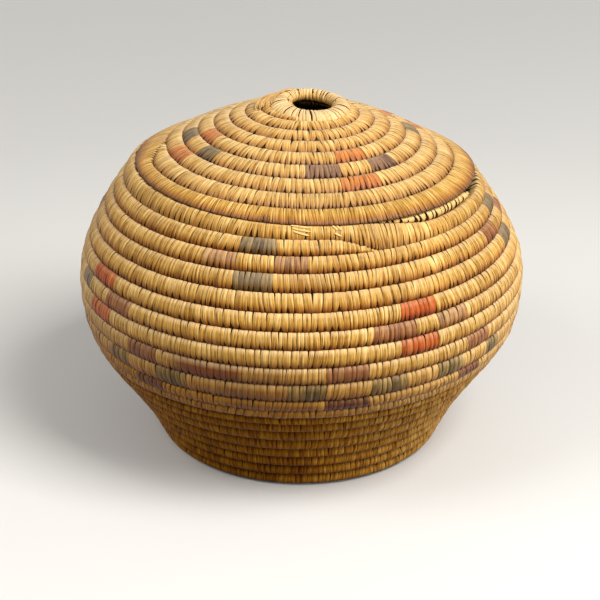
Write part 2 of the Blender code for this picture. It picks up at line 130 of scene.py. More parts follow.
# Floor
FLOOR_HEIGHT = 2.4 * MM          # underside seams above the ground
FLOOR_DEPTH = 4.0 * MM
FLOOR_BULGE = 1.4 * MM
FLOOR_TURNS = 7
FLOOR_INNER_RADIUS = 3.9 * MM
FLOOR_OUTER_RADIUS = BELLY_RADIUS * BODY_RADIUS_SHARES[0] - 5.5 * MM
KNOT_RADIUS = 3.6 * MM
KNOT_HEIGHT_SHARE = 0.9          # of its solid's height, for its wraps

# Lid
SEAT_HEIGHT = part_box("lid_edge_coil")[0].z
LID_RADIUS = 85.6 * MM
LID_RISE = 28.4 * MM
LID_RADIUS_SHARES = (1.0, 0.80, 0.61, 0.43)
LID_HEIGHT_SHARES = (0.0, 0.289, 0.577, 0.792)
LID_TOP_RADIUS = 17.96 * MM
LID_ROWS = 8.5
LID_GROWTH_SHARE = 0.78
LID_DEPTH = 3.0 * MM
LID_BULGE = 1.5 * MM
LID_START = -pi / 2
LID_FIRST_ROW = 0.75
LID_TURNS = 7.75

# Finger ring: radius of the hole and of the outside, and how far and which way each is off centre
RING_HOLE = (9.85 * MM, 3.3 * MM, radians(108))
RING_OUTSIDE = (20.4 * MM, 3.2 * MM, radians(42))
RING_HALF_HEIGHT = 3.7 * MM
RING_DIP = 2.8 * MM              # how much lower the ring is on its low side
RING_DIP_TOWARDS = radians(25)
RING_SPLAY = 0.6 * MM
RING_SWELL = 0.1                 # how much taller its row is at the front, and less so behind
TAIL_STRANDS = 10                # loose strands that leave the ring on its left
TAIL_AZIMUTHS = (-168, -70)
TAIL_REACHES = ((11.5, 0.9), (17.0, 1.0))    # where they start and end: mm, and mm for each next
TAIL_RADII, TAIL_TONES = (0.8, 1.1), (0.3, 1)    # least and most: thickness in mm, and shade
LID_TOP_SLOPE = 0.313            # how steeply the lid falls away beside the ring

# Widths of the wraps that no user would change
LIP_WRAP = 3.7 * MM
RING_WRAP = 1.6 * MM
COLLAR_WRAP = 3.0 * MM
RING_THICKNESS = 0.5 * MM        # of the wraps of the ring and the collar

# Lashings on the mouth row.  For each strand: azimuth in degrees and share of the row's height
# where it starts, and the same where it ends.
LASHINGS = (
    ("rim_lashing_front", ((-3.8, 0.92, 2.2, 0.80), (-3.2, 0.74, 2.4, 0.56),
                           (-2.8, 0.56, 2.0, 0.32))),
    ("rim_lashing_right", ((9.0, 0.94, 10.6, 0.62), (10.3, 0.92, 11.8, 0.62),
                           (9.4, 0.46, 11.6, 0.30))),
)
LASHING_RADIUS, LASHING_TONE = 0.62 * MM, 0.95
TAIL_POINTS, LASHING_POINTS = 18, 10         # along each strand

# Slow waves that make whole stretches of stitches wider or narrower: pace and start
DRIFT_WAVES = ((17, 0), (41, 2))
DRIFT_DIVISOR = 1.5              # brings their sum down to about 1 at most
# How the stitches slant: waves along a row, as pace and size, and their share of the slant
SLANT_WAVES = ((31, 1), (73, 1), (211, 0.6))
WAVE_SHARE = 0.6
# How far they draw apart: mean and spread of the share, and what is left of a narrow end
GAP_MEAN, GAP_SPREAD = 0.5, 0.35
LEAST_END = 0.3
# How far they do so round a row, as azimuth in degrees and openness
LOW_OPENNESS = ((-170, 0.1), (-10, 0.1), (25, 0.8), (100, 0.6), (170, 0.1))
RIM_OPENNESS = ((-110, 0.4), (-70, 0.6), (-5, 0.6), (20, 0.25), (110, 0.4))
# Inputs of the stitch nodes for thin stitches that lie close
CLOSE_STITCHES = {"Overlap": 0.1 * MM, "Unevenness": 0.05 * MM, "Thickness": 0.4 * MM,
                  "Nub": 1.25, "Upper End": 0.95}

# How the real basket has sunk and leaned.  For a share of the body's height: rise in mm, slopes up
# towards the front, the back and the right in mm for each 100 mm, shift to the right in mm, and
# growth of the radius in mm at a radius of SETTLING_RADIUS.
SETTLING = (
    (0.00, 0.0, 0.0, 0.0, 0.0, 0.4, -1.2),
    (0.10, 0.0, 0.0, 0.0, 0.5, 0.3, -0.9),
    (0.20, 0.0, 0.0, 0.0, 1.0, -0.2, 0.1),
    (0.34, 0.2, 0.0, 0.0, 1.7, -0.2, -0.4),
    (0.45, 0.0, 0.0, 0.0, 1.4, 0.5, 0.6),
    (0.57, -0.2, 0.0, 0.0, 1.2, 0.5, -0.3),
    (0.70, -0.3, 0.0, 0.0, 0.8, 0.6, -0.3),
    (0.80, -0.3, 0.0, 0.0, 0.5, 0.1, -0.5),
    (0.90, -0.3, 0.0, 0.0, 0.0, -0.1, -0.7),
    (1.00, -0.3, -1.7, -1.0, -2.0, 0.9, -0.5),
)
LID_SETTLING = (-0.3, -1.9, -2.6, -2.0, 1.8, 0.8)
SETTLING_RADIUS = 90

# Curves and sections
ROW_FLATNESS = 0.5               # share of a row's depth over which it lies on the next
LOW_FLATNESS = 0.18              # of the rows near the foot
LID_FLATNESS = 0.38
RIM_FLATNESS = 0.6               # of the mouth row and the lid's edge
LIP_FLATNESS = 0.3
NO_SHIFTS = ((0,), (0,))         # for rows that are evenly spaced
CURVE_POINTS_PER_SPAN = 24
SECTIONS_PER_TURN = 72           # of a bundle
BUNDLE_SIDES = 12

# Dyed blocks: name, row of the top band at the front, azimuths in degrees of the top, left,
# right and bottom bands, and their dyes.  The side bands are a row lower than the top one.
BAND_PLACES = ("top", "left", "right", "bottom")
BODY_BLOCKS = (
    ("upper_front", 18, ((-17.5, -7), (-27.5, -17.5), (-7, 2), (-17.5, -7)),
     ("grey", "mauve", "mauve", "grey")),
    ("upper_right", 17, ((73, 82.5), (62, 70.5), (81.5, 89.5), (71, 80)),
     ("grey", "brown", "brown", "grey")),
    ("middle_left", 14, ((-65, -54), (-73.5, -66), (-56, -46), (-64.5, -54)),
     ("orange", "grey", "brown", "orange")),
    ("middle_right", 14, ((24.5, 34.5), (17, 28), (34.5, 43.5), (24, 34)),
     ("orange", "brown", "mauve", "orange")),
    ("lower_left", 11, ((-46, -36.5), (-55, -47), (-37, -28), (-45, -36)),
     ("brown", "green", "green", "rust")),
    ("lower_front", 11, ((6, 16), (-3, 6), (17, 26), (6, 17)),
     ("brown", "green", "green", "rust")),
    ("lower_right", 11, ((44, 52), (35, 43), (52.5, 58), (43, 51)),
     ("brown", "green", "green", "rust")),
)
LID_BLOCKS = (
    ("lid_left", 4, ((-75, -61), (-89, -75), (-60, -48), (-75, -61)),
     ("faded_orange", "grey", "grey", "faded_orange")),
    ("lid_front", 4, ((17, 35), (0, 17), (33, 48), (15, 33)),
     ("faded_orange", "plum", "plum", "faded_orange")),
    ("lid_back", 4, ((104, 120), (89, 104), (121, 136), (104, 120)),
     ("faded_orange", "grey", "grey", "faded_orange")),
)
# The same blocks go on round the far side, where the photograph doesn't reach: row of the top
# band at the front, azimuth of its middle, half of a band's width, and the dyes.
FAR_BODY_BLOCKS = (
    (17, 167, 5, ("grey", "mauve", "mauve", "grey")),
    (17, -103, 5, ("grey", "brown", "brown", "grey")),
    (14, 119, 5, ("orange", "brown", "mauve", "orange")),
    (14, -151, 5, ("orange", "grey", "brown", "orange")),
    (11, 93, 4.5, ("brown", "green", "green", "rust")),
    (11, 138, 4.5, ("brown", "green", "green", "rust")),
    (11, -177, 4.5, ("brown", "green", "green", "rust")),
    (11, -132, 4.5, ("brown", "green", "green", "rust")),
    (11, -87, 4.5, ("brown", "green", "green", "rust")),
)
FAR_LID_BLOCKS = ((4, -158, 7.5, ("faded_orange", "grey", "grey", "faded_orange")),)

# Natural stitches that have darkened: row at the front, azimuths in degrees, strength
BODY_STAINS = (
    (11, -34, -10, 1.0), (16, -6, 10, 0.3), (11, -30, 2, 0.45), (10, -26, 6, 0.5),
    (9, -22, 8, 0.45), (18, -52, -44, 0.25), (2, -14, 6, 0.4), (1, -18, 10, 0.45),
)


def linear(hex_colour):
    """An sRGB hex colour as linear red, green, blue and alpha."""
    values = [int(hex_colour[place:place + 2], 16) / 255 for place in (1, 3, 5)]
    return (*[value / 12.92 if value <= 0.04045 else ((value + 0.055) / 1.055) ** 2.4
              for value in values], 1.0)


def colour_property(name, description, hex_colour):
    return bpy.props.FloatVectorProperty(
        name=name, description=description, default=linear(hex_colour), size=4, min=0, max=1,
        subtype="COLOR")


def length_property(name, description, size, low=1.5, high=8):
    """A length, given in millimetres."""
    return bpy.props.FloatProperty(name=name, description=description, default=size * MM,
                                   min=low * MM, max=high * MM, unit="LENGTH")


def share_property(name, description, share, high=1):
    return bpy.props.FloatProperty(name=name, description=description, default=share,
                                   min=0, max=high, subtype="FACTOR")


def light_property(name, description, strength, unit="POWER"):
    return bpy.props.FloatProperty(name=name, description=description, default=strength, min=0,
                                   unit=unit)


class BasketSizes(bpy.types.PropertyGroup):
    """Sizes of the stitches, and how uneven the basket is."""
    stitch_width: length_property("Stitch width", "Mean width of one stitch on the body", 2.7)
    low_stitch_width: length_property(
        "Lower stitch width", "Mean width of one stitch near the foot", 2.5)
    lid_stitch_width: length_property(
        "Lid stitch width", "Mean width of one stitch on the lid", 2.45)
    edge_stitch_width: length_property(
        "Edge stitch width", "Mean width of one wrap on the lid's edge", 1.8, low=1)
    stitch_thickness: length_property(
        "Stitch thickness", "How far a stitch stands over the bundle", 0.6, low=0.1, high=2)
    width_spread: share_property("Width spread", "How much stitches differ in width", 0.35, 0.9)
    width_drift: share_property(
        "Width drift", "How much wider stretches of stitches are than others", 0.3, 0.9)
    gap: share_property("Gap", "How far stitches draw apart at their lower ends", 0.9)
    slant: length_property(
        "Slant", "How far the two ends of a stitch are moved apart", 0.55, low=0, high=3)
    settling: share_property("Settling", "How far the basket has sunk and leaned", 1)
    seed: bpy.props.IntProperty(
        name="Seed", description="Sets the random widths, slants and shades", default=7, min=0)


class GrassColours(bpy.types.PropertyGroup):
    """Shades of the natural and the dyed grass."""
    straw_dark: colour_property("Straw, dark", "Shaded strands of natural grass", "#865616")
    straw: colour_property("Straw", "Natural grass", "#D29D40")
    straw_pale: colour_property("Straw, pale", "Lightest strands of natural grass", "#F6D288")
    stained: colour_property("Stained", "Natural grass that has darkened", "#834710")
    # the bundle colour is partly painted shade: darker than the straw, as it shows only deep in
    # the gaps
    bundle: colour_property("Bundle", "Grass inside the rows", "#3E2811")
    grey: colour_property("Grey dye", "Weathered grey-brown bands", "#816A49")
    mauve: colour_property("Mauve dye", "Faded purple-brown bands", "#B5804F")
    brown: colour_property("Brown dye", "Purple-brown bands", "#9A5B2E")
    plum: colour_property("Plum dye", "Grey-purple bands of the lid", "#8A6650")
    orange: colour_property("Orange dye", "Rust orange bands", "#C6580A")
    faded_orange: colour_property("Faded orange dye", "Bleached orange bands", "#D08040")
    green: colour_property("Green dye", "Grey-green bands", "#7C6431")
    rust: colour_property("Rust dye", "Dark red-brown bands", "#74300F")


class StageSettings(bpy.types.PropertyGroup):
    """Floor and lamps."""
    floor_colour: colour_property("Floor", "Plain pale floor", "#E9E6E0")
    key_power: light_property("Key lamp", "Power of the large lamp above", 15.2)
    fill_power: light_property("Fill lamp", "Power of the lamp on the left", 5.6)
    side_power: light_property("Side lamp", "Power of the low lamp on the right", 13.0)
    sky_strength: light_property(
        "Surrounding light", "Strength of the even light all round", 0.26, unit="NONE")


# ---------------------------------------------------------------------------------------------
# Rows
# ---------------------------------------------------------------------------------------------

def smooth_line(points):
    """Points close together on a smooth curve (Catmull-Rom) through the given ones."""
    ends = [2 * points[0] - points[1]] + list(points) + [2 * points[-1] - points[-2]]
    line = []
    for before, first, second, after in zip(ends, ends[1:], ends[2:], ends[3:]):
        for part in np.arange(CURVE_POINTS_PER_SPAN) / CURVE_POINTS_PER_SPAN:
            line.append(
                0.5 * (2 * first + (second - before) * part
                       + (2 * before - 5 * first + 4 * second - after) * part ** 2
                       + (3 * first - before - 3 * second + after) * part ** 3))
    return np.array(line + [points[-1]])


class Outline:
    """A (radius, height) profile through the seams, marked off in rows from its lower end."""

    def __init__(self, points, rows, growth=1.0):
        self.line = smooth_line([np.array(point) for point in points])
        steps = np.linalg.norm(np.diff(self.line, axis=0), axis=1)
        self.along = np.concatenate(([0.0], np.cumsum(steps)))
        self.length = self.along[-1]
        self.first_pitch = 2 * self.length / (rows * (1 + growth))
        self.pitch_gain = self.first_pitch * (growth - 1) / rows

    def point(self, distance):
        return np.array([np.interp(distance, self.along, self.line[:, axis]) for axis in (0, 1)])

    def at(self, row, lift):
        """The point on a row number, lifted off the seam line."""
        distance = self.first_pitch * row + self.pitch_gain * row ** 2 / 2
        reach = self.first_pitch / 2
        ahead = self.point(min(distance + reach, self.length))
        behind = self.point(max(distance - reach, 0))
        radial, vertical = (ahead - behind) / np.linalg.norm(ahead - behind)
        return self.point(distance) + lift * np.array([vertical, -radial])


def smooth_step(share):
    """From 0 to 1, level at both ends."""
    share = min(max(share, 0), 1)
    return share * share * (3 - 2 * share)


class Row:
    """A row or a run of rows.  seams(turn) gives its lower and upper middle (radius, height)."""

    def __init__(self, start_azimuth, turns, half_depth, seams, closed=False, flat=ROW_FLATNESS):
        self.start_azimuth = start_azimuth
        self.turns = turns
        self.half_depth = half_depth
        self.seams = seams
        self.closed = closed
        self.flat = flat

    def azimuth(self, turn):
        return self.start_azimuth + turn * tau

    def radius(self, turn):
        foot, head = self.seams(turn)
        return (foot[0] + head[0]) / 2

    def depth(self, turn):
        """Half depth, less where the bundle runs out."""
        foot, head = self.seams(turn)
        height = np.linalg.norm(np.subtract(head, foot))
        return self.half_depth * min(1, THINNEST + height / (THINNING_HEIGHT * self.half_depth))


def spiral(outline, depth, bulge, start_azimuth, first_row, turns, start, end,
           shifts=NO_SHIFTS, flat=ROW_FLATNESS):
    """A bundle that climbs one row a turn.  Its ends are "thinned" or "level"."""
    def share(kind, turn_from_end):
        return 0 if kind == "level" else smooth_step(turn_from_end / RUN_OUT_SHARE)

    def seam_row(turn):
        if turn < 1:
            turn = 1 - (1 - turn) * share(start, turn)
        elif turn > turns:
            turn = turns + (turn - turns) * share(end, 1 - (turn - turns))
        return first_row + turn + np.interp(first_row + turn, *shifts)

    def seams(turn):
        return (outline.at(seam_row(turn), -depth / 2), outline.at(seam_row(turn + 1), -depth / 2))

    row = Row(start_azimuth, turns, depth / 2 + bulge, seams, flat=flat)
    row.seam_row = seam_row
    row.first_row = first_row
    return row


def wall_rows():
    """The wall, the foot, the mouth row and the thin coil in the gap below the lid."""
    points = [(radius * BELLY_RADIUS, height * BODY_HEIGHT)
              for radius, height in zip(BODY_RADIUS_SHARES, BODY_HEIGHT_SHARES)]
    outline = Outline(points, BODY_ROWS, BODY_GROWTH_SHARE)
    wall = spiral(outline, WALL_DEPTH, WALL_BULGE, WALL_START, WALL_FIRST_ROW, WALL_TURNS,
                  "thinned", "thinned", SEAM_SHIFTS)
    half = WALL_DEPTH / 2 + WALL_BULGE
    foot = Row(WALL_START, 1, half, lambda turn: (
        outline.at(0, -WALL_DEPTH / 2), outline.at(wall.seam_row(turn % 1), -WALL_DEPTH / 2)),
        closed=True)

    def sag(azimuth, azimuths, slope):
        left, right = (radians(value) for value in azimuths)
        part = ((azimuth + pi) % tau - pi - left) / (right - left)
        return SAG_ROWS * smooth_step(slope * part) * smooth_step(slope * (1 - part))

    def rim_seams(turn):
        drop = sag(rim.azimuth(turn % 1), SAG_AZIMUTHS, SAG_SLOPE)
        return (outline.at(wall.seam_row(WALL_TURNS + turn % 1), -WALL_DEPTH / 2),
                outline.at(BODY_ROWS - drop, -WALL_DEPTH / 2))

    def lip_seams(turn):
        lowest = BODY_ROWS - sag(lip.azimuth(turn), SAG_AZIMUTHS, SAG_SLOPE)
        height = sag(lip.azimuth(turn), LIP_AZIMUTHS, LIP_SLOPE)
        return (outline.at(lowest, -WALL_DEPTH / 2 - LIP_SETBACK),
                outline.at(lowest + height, -WALL_DEPTH / 2 - LIP_SETBACK))

    rim = Row(wall.azimuth(WALL_TURNS), 1, half, rim_seams, closed=True, flat=RIM_FLATNESS)
    lip = Row(radians(LIP_AZIMUTHS[0]), (LIP_AZIMUTHS[1] - LIP_AZIMUTHS[0]) / 360, half, lip_seams,
              flat=LIP_FLATNESS)
    return wall, foot, rim, lip


def floor_rows():
    """The flat spiral of the floor."""
    line = Outline([(FLOOR_INNER_RADIUS, FLOOR_HEIGHT), (FLOOR_OUTER_RADIUS, FLOOR_HEIGHT)],
                   FLOOR_TURNS)
    return spiral(line, FLOOR_DEPTH, FLOOR_BULGE, WALL_START, -1, FLOOR_TURNS + 1,
                  "level", "level")


def lid_rows():
    """The lid and its edge."""
    points = [(radius * LID_RADIUS, SEAT_HEIGHT + height * LID_RISE)
              for radius, height in zip(LID_RADIUS_SHARES, LID_HEIGHT_SHARES)]
    points.append((LID_TOP_RADIUS, SEAT_HEIGHT + LID_RISE))
    outline = Outline(points, LID_ROWS, LID_GROWTH_SHARE)
    lid = spiral(outline, LID_DEPTH, LID_BULGE, LID_START, LID_FIRST_ROW, LID_TURNS,
                 "thinned", "level", flat=LID_FLATNESS)
    edge = Row(LID_START, 1, LID_DEPTH / 2 + LID_BULGE, lambda turn: (
        outline.at(0, -LID_DEPTH / 2), outline.at(lid.seam_row(turn % 1), -LID_DEPTH / 2)),
        closed=True, flat=RIM_FLATNESS)
    return lid, edge


def collar_row():
    """The row bent into the ring that the lid's collar fills."""
    low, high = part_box("lid_collar_coil")
    tube = (high.z - low.z) / 2
    middle = (high.x - low.x) / 2 - tube
    return Row(0, 1, tube, lambda turn: ((middle, low.z), (middle, high.z)), closed=True, flat=0)


def circle_reach(azimuth, radius, offset, towards):
    """Distance from the axis to a circle whose middle is off centre."""
    turned = azimuth - towards
    return offset * cos(turned) + (radius ** 2 - (offset * sin(turned)) ** 2) ** 0.5


def ring_row():
    """The finger ring: broad and low at the front, higher at the back, its hole off centre."""
    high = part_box("lid_ring")[1].z

    def reaches(turn):
        return circle_reach(turn * tau, *RING_HOLE), circle_reach(turn * tau, *RING_OUTSIDE)

    def seams(turn):
        azimuth = turn * tau
        inner, outer = reaches(turn)
        half = RING_HALF_HEIGHT * (1 + RING_SWELL * cos(azimuth))
        top = high - RING_DIP * (1 + cos(azimuth - RING_DIP_TOWARDS)) / 2
        radius = (inner + outer) / 2
        return ((radius - RING_SPLAY / 2, top - 2 * half), (radius + RING_SPLAY / 2, top))

    ring = Row(0, 1, 0, seams, closed=True, flat=0)
    ring.depth = lambda turn: (reaches(turn)[1] - reaches(turn)[0]) / 2
    return ring


# ---------------------------------------------------------------------------------------------
# Stitches
# ---------------------------------------------------------------------------------------------

def band_limits(row, blocks):
    """Turns at which each dyed band of a spiral begins and ends: (name, dye, first, last)."""
    limits = []
    for name, top_row, azimuths, dyes in blocks:
        rows = (top_row, top_row - 1, top_row - 1, top_row - 2)
        for place, row_number, (left, right), dye in zip(BAND_PLACES, rows, azimuths, dyes):
            turns = [row_number + azimuth / 360 - row.first_row for azimuth in (left, right)]
            # a dye of the far side is one piece
            label = f"{name}_{dye if name.startswith('far') else place}"
            limits.append((label, dye, *turns))
    return limits


def far_blocks(places, name):
    """Blocks of the far side, as evenly spaced as their middles say."""
    for top_row, middle, half, dyes in places:
        azimuths = ((middle - half, middle + half), (middle - 3 * half, middle - half),
                    (middle + half, middle + 3 * half), (middle - half, middle + half))
        yield name, top_row, azimuths, dyes


def owners(parts, bands):
    """Stretches of a run of rows, each with the part or the band that it belongs to."""
    cuts = {turn for _, first, last in parts for turn in (first, last)}
    cuts |= {turn for _, _, first, last in bands for turn in (first, last)}
    cuts = sorted(turn for turn in cuts if parts[0][1] <= turn <= parts[-1][2])
    for first, last in zip(cuts, cuts[1:]):
        middle = (first + last) / 2
        name, dye = next((name, None) for name, low, high in parts if low <= middle <= high)
        for band, band_dye, low, high in bands:
            if low <= middle <= high:
                name, dye = band, band_dye
        yield name, dye, first, last


def lay_stitches(row, first, last, width, sizes, chance):
    """Middle and width, both in turns, of each stitch between two places on a row."""
    length = row.radius((first + last) / 2) * tau * (last - first)
    count = max(1, round(length / width))
    shares = []
    for place in np.linspace(first, last, count):
        wave = sum(sin(place * pace + start) for pace, start in DRIFT_WAVES)
        drift = sizes.width_drift * wave / DRIFT_DIVISOR
        shares.append((1 + drift) * (1 + sizes.width_spread * (2 * chance.random() - 1)))
    scale = (last - first) / sum(shares)
    place = first
    for share in shares:
        yield place + share * scale / 2, share * scale
        place += share * scale


def stain(row, turn, stains):
    """How dark a natural stitch has become."""
    strength = 0
    for row_number, left, right, most in stains:
        first, last = [row_number + azimuth / 360 - row.first_row for azimuth in (left, right)]
        reach = (last - first) / 2
        strength = max(strength, most * smooth_step(2 * (1 - abs(turn - first - reach) / reach)))
    return strength


# What places each vertex of a stitch: its guide's seams and numbers, and its own form
GUIDE_NUMBERS = ("azimuth", "span", "slant", "depth", "left_end", "right_end")
PLACING_NUMBERS = (*GUIDE_NUMBERS, "across", "crown", "lift")
PLACING_VECTORS = ("foot", "head", "section", "facing")
SHOWN_ATTRIBUTES = ("section", "crown")      # of these, what the materials read too


class Guide:
    """Where a piece's stitches lie: one point each, with the seams that it runs between."""

    def __init__(self):
        self.stitches = []

    def add(self, row, turn, width, slant, ends, stained):
        """ends are the shares of its half width that are left at the foot, left and right."""
        foot, head = row.seams(turn)
        self.stitches.append((foot, head, row.azimuth(turn), width * tau, slant, row.depth(turn),
                              *ends, stained))

    def mesh(self, name):
        mesh = bpy.data.meshes.new(name)
        columns = list(zip(*self.stitches))
        foot, head = (np.array([(r, 0, z) for r, z in column]) for column in columns[:2])
        mesh.from_pydata(((foot + head) / 2).tolist(), [], [])
        names = ("foot", "head", *GUIDE_NUMBERS, "stained")
        for kind, values in zip(names, (foot, head, *columns[2:])):
            store(mesh, kind, values)
        return mesh


def store(mesh, name, values):
    """Keep a number or a vector for each vertex."""
    values = np.asarray(values, dtype=np.float32)
    if values.ndim == 1:
        mesh.attributes.new(name, "FLOAT", "POINT").data.foreach_set("value", values)
    else:
        data = mesh.attributes.new(name, "FLOAT_VECTOR", "POINT").data
        data.foreach_set("vector", values.ravel())


def row_section(angle, flat):
    """Point and outward direction on a row's section of half size 1.

    Above and below, the section is flat for that share of its depth, and its faces are bulged.
    """
    c, s = cos(angle), sin(angle)
    return (c * (1 - flat) + (flat if c > 0 else -flat), s), (c, s)


# Angles round a row, from its lower seam over the outer face to its upper seam and back inside
SECTION_ANGLES = (-89.9, -64, -38, -13, 13, 38, 64, 89.9, 110, 160, 200, 250)
# Across a stitch: place from -0.5 to 0.5, and how far it stands up there in thicknesses
STRAND_SHAPE = ((-0.5, 0.55), (-0.43, 0.92), (0.0, 1.02), (0.43, 0.92), (0.5, 0.55))
TOP_LEAN = 0.09                  # how much further the upper part of a row stands out


def ring_faces(rings, sides, closed=True):
    """Faces between rings of points that follow each other."""
    faces = []
    for ring in range(rings if closed else rings - 1):
        near, far = ring * sides, (ring + 1) % rings * sides
        for side in range(sides):
            beside = (side + 1) % sides
            faces.append((near + side, far + side, far + beside, near + beside))
    return faces


def stitch_form(name, flat):
    """One stitch closed round a row, with steep sides and a crowned face."""
    mesh = bpy.data.meshes.new(name)
    sides = len(STRAND_SHAPE)
    points, facings = [], []
    for angle in SECTION_ANGLES:
        (x, y), facing = row_section(radians(angle), flat)
        points += [(x * (1 + TOP_LEAN * y), y, 0)] * sides
        facings += [(*facing, 0)] * sides
    rings = len(SECTION_ANGLES)
    across, crown = zip(*STRAND_SHAPE * rings)
    mesh.from_pydata(
        [(x, y, place) for (x, y, _), place in zip(points, across)], [],
        [(first, *reversed(others)) for first, *others in ring_faces(rings, sides)])
    mesh.shade_smooth()
    for kind, values in (("section", points), ("facing", facings), ("across", across),
                         ("crown", crown)):
        store(mesh, kind, values)
    return bpy.data.objects.new(name, mesh)


MATH, VECTOR_MATH = "ShaderNodeMath", "ShaderNodeVectorMath"
MAP_RANGE, MIX = "ShaderNodeMapRange", "ShaderNodeMix"
SEPARATE, COMBINE = "ShaderNodeSeparateXYZ", "ShaderNodeCombineXYZ"
ATTRIBUTE, NOISE = "ShaderNodeAttribute", "ShaderNodeTexNoise"
RAMP, BUMP = "ShaderNodeValToRGB", "ShaderNodeBump"
COORDINATES, STORE = "ShaderNodeTexCoord", "GeometryNodeStoreNamedAttribute"
PRINCIPLED, SURFACE = "ShaderNodeBsdfPrincipled", "ShaderNodeOutputMaterial"


def add_node(tree, kind, links=(), out=0, **settings):
    """Add a node with its settings, and return one of its outputs, or all for out=None.

    links gives its inputs a value or a socket each, in their order or by name.
    """
    node = tree.nodes.new(kind)
    for name, value in settings.items():
        setattr(node, name, value)
    for key, value in links.items() if isinstance(links, dict) else enumerate(links):
        if isinstance(value, bpy.types.NodeSocket):
            tree.links.new(value, node.inputs[key])
        else:
            node.inputs[key].default_value = value
    return node.outputs if out is None else node.outputs[out]


STITCH_INPUTS = (
    ("Guide", "NodeSocketGeometry", None),
    ("Stitch", "NodeSocketObject", None),
    ("Thickness", "NodeSocketFloat", 0.6 * MM),
    ("Nub", "NodeSocketFloat", 1.5),
    ("Upper End", "NodeSocketFloat", 0.9),
    ("Slit Top", "NodeSocketFloat", -0.35),
    ("Overlap", "NodeSocketFloat", 0.7 * MM),
    ("Unevenness", "NodeSocketFloat", 0.12 * MM),
    ("Lowest", "NodeSocketFloat", 0.0),
    ("Highest", "NodeSocketFloat", 1.0),
    ("Seed", "NodeSocketInt", 0),
    ("Grass", "NodeSocketMaterial", None),
)


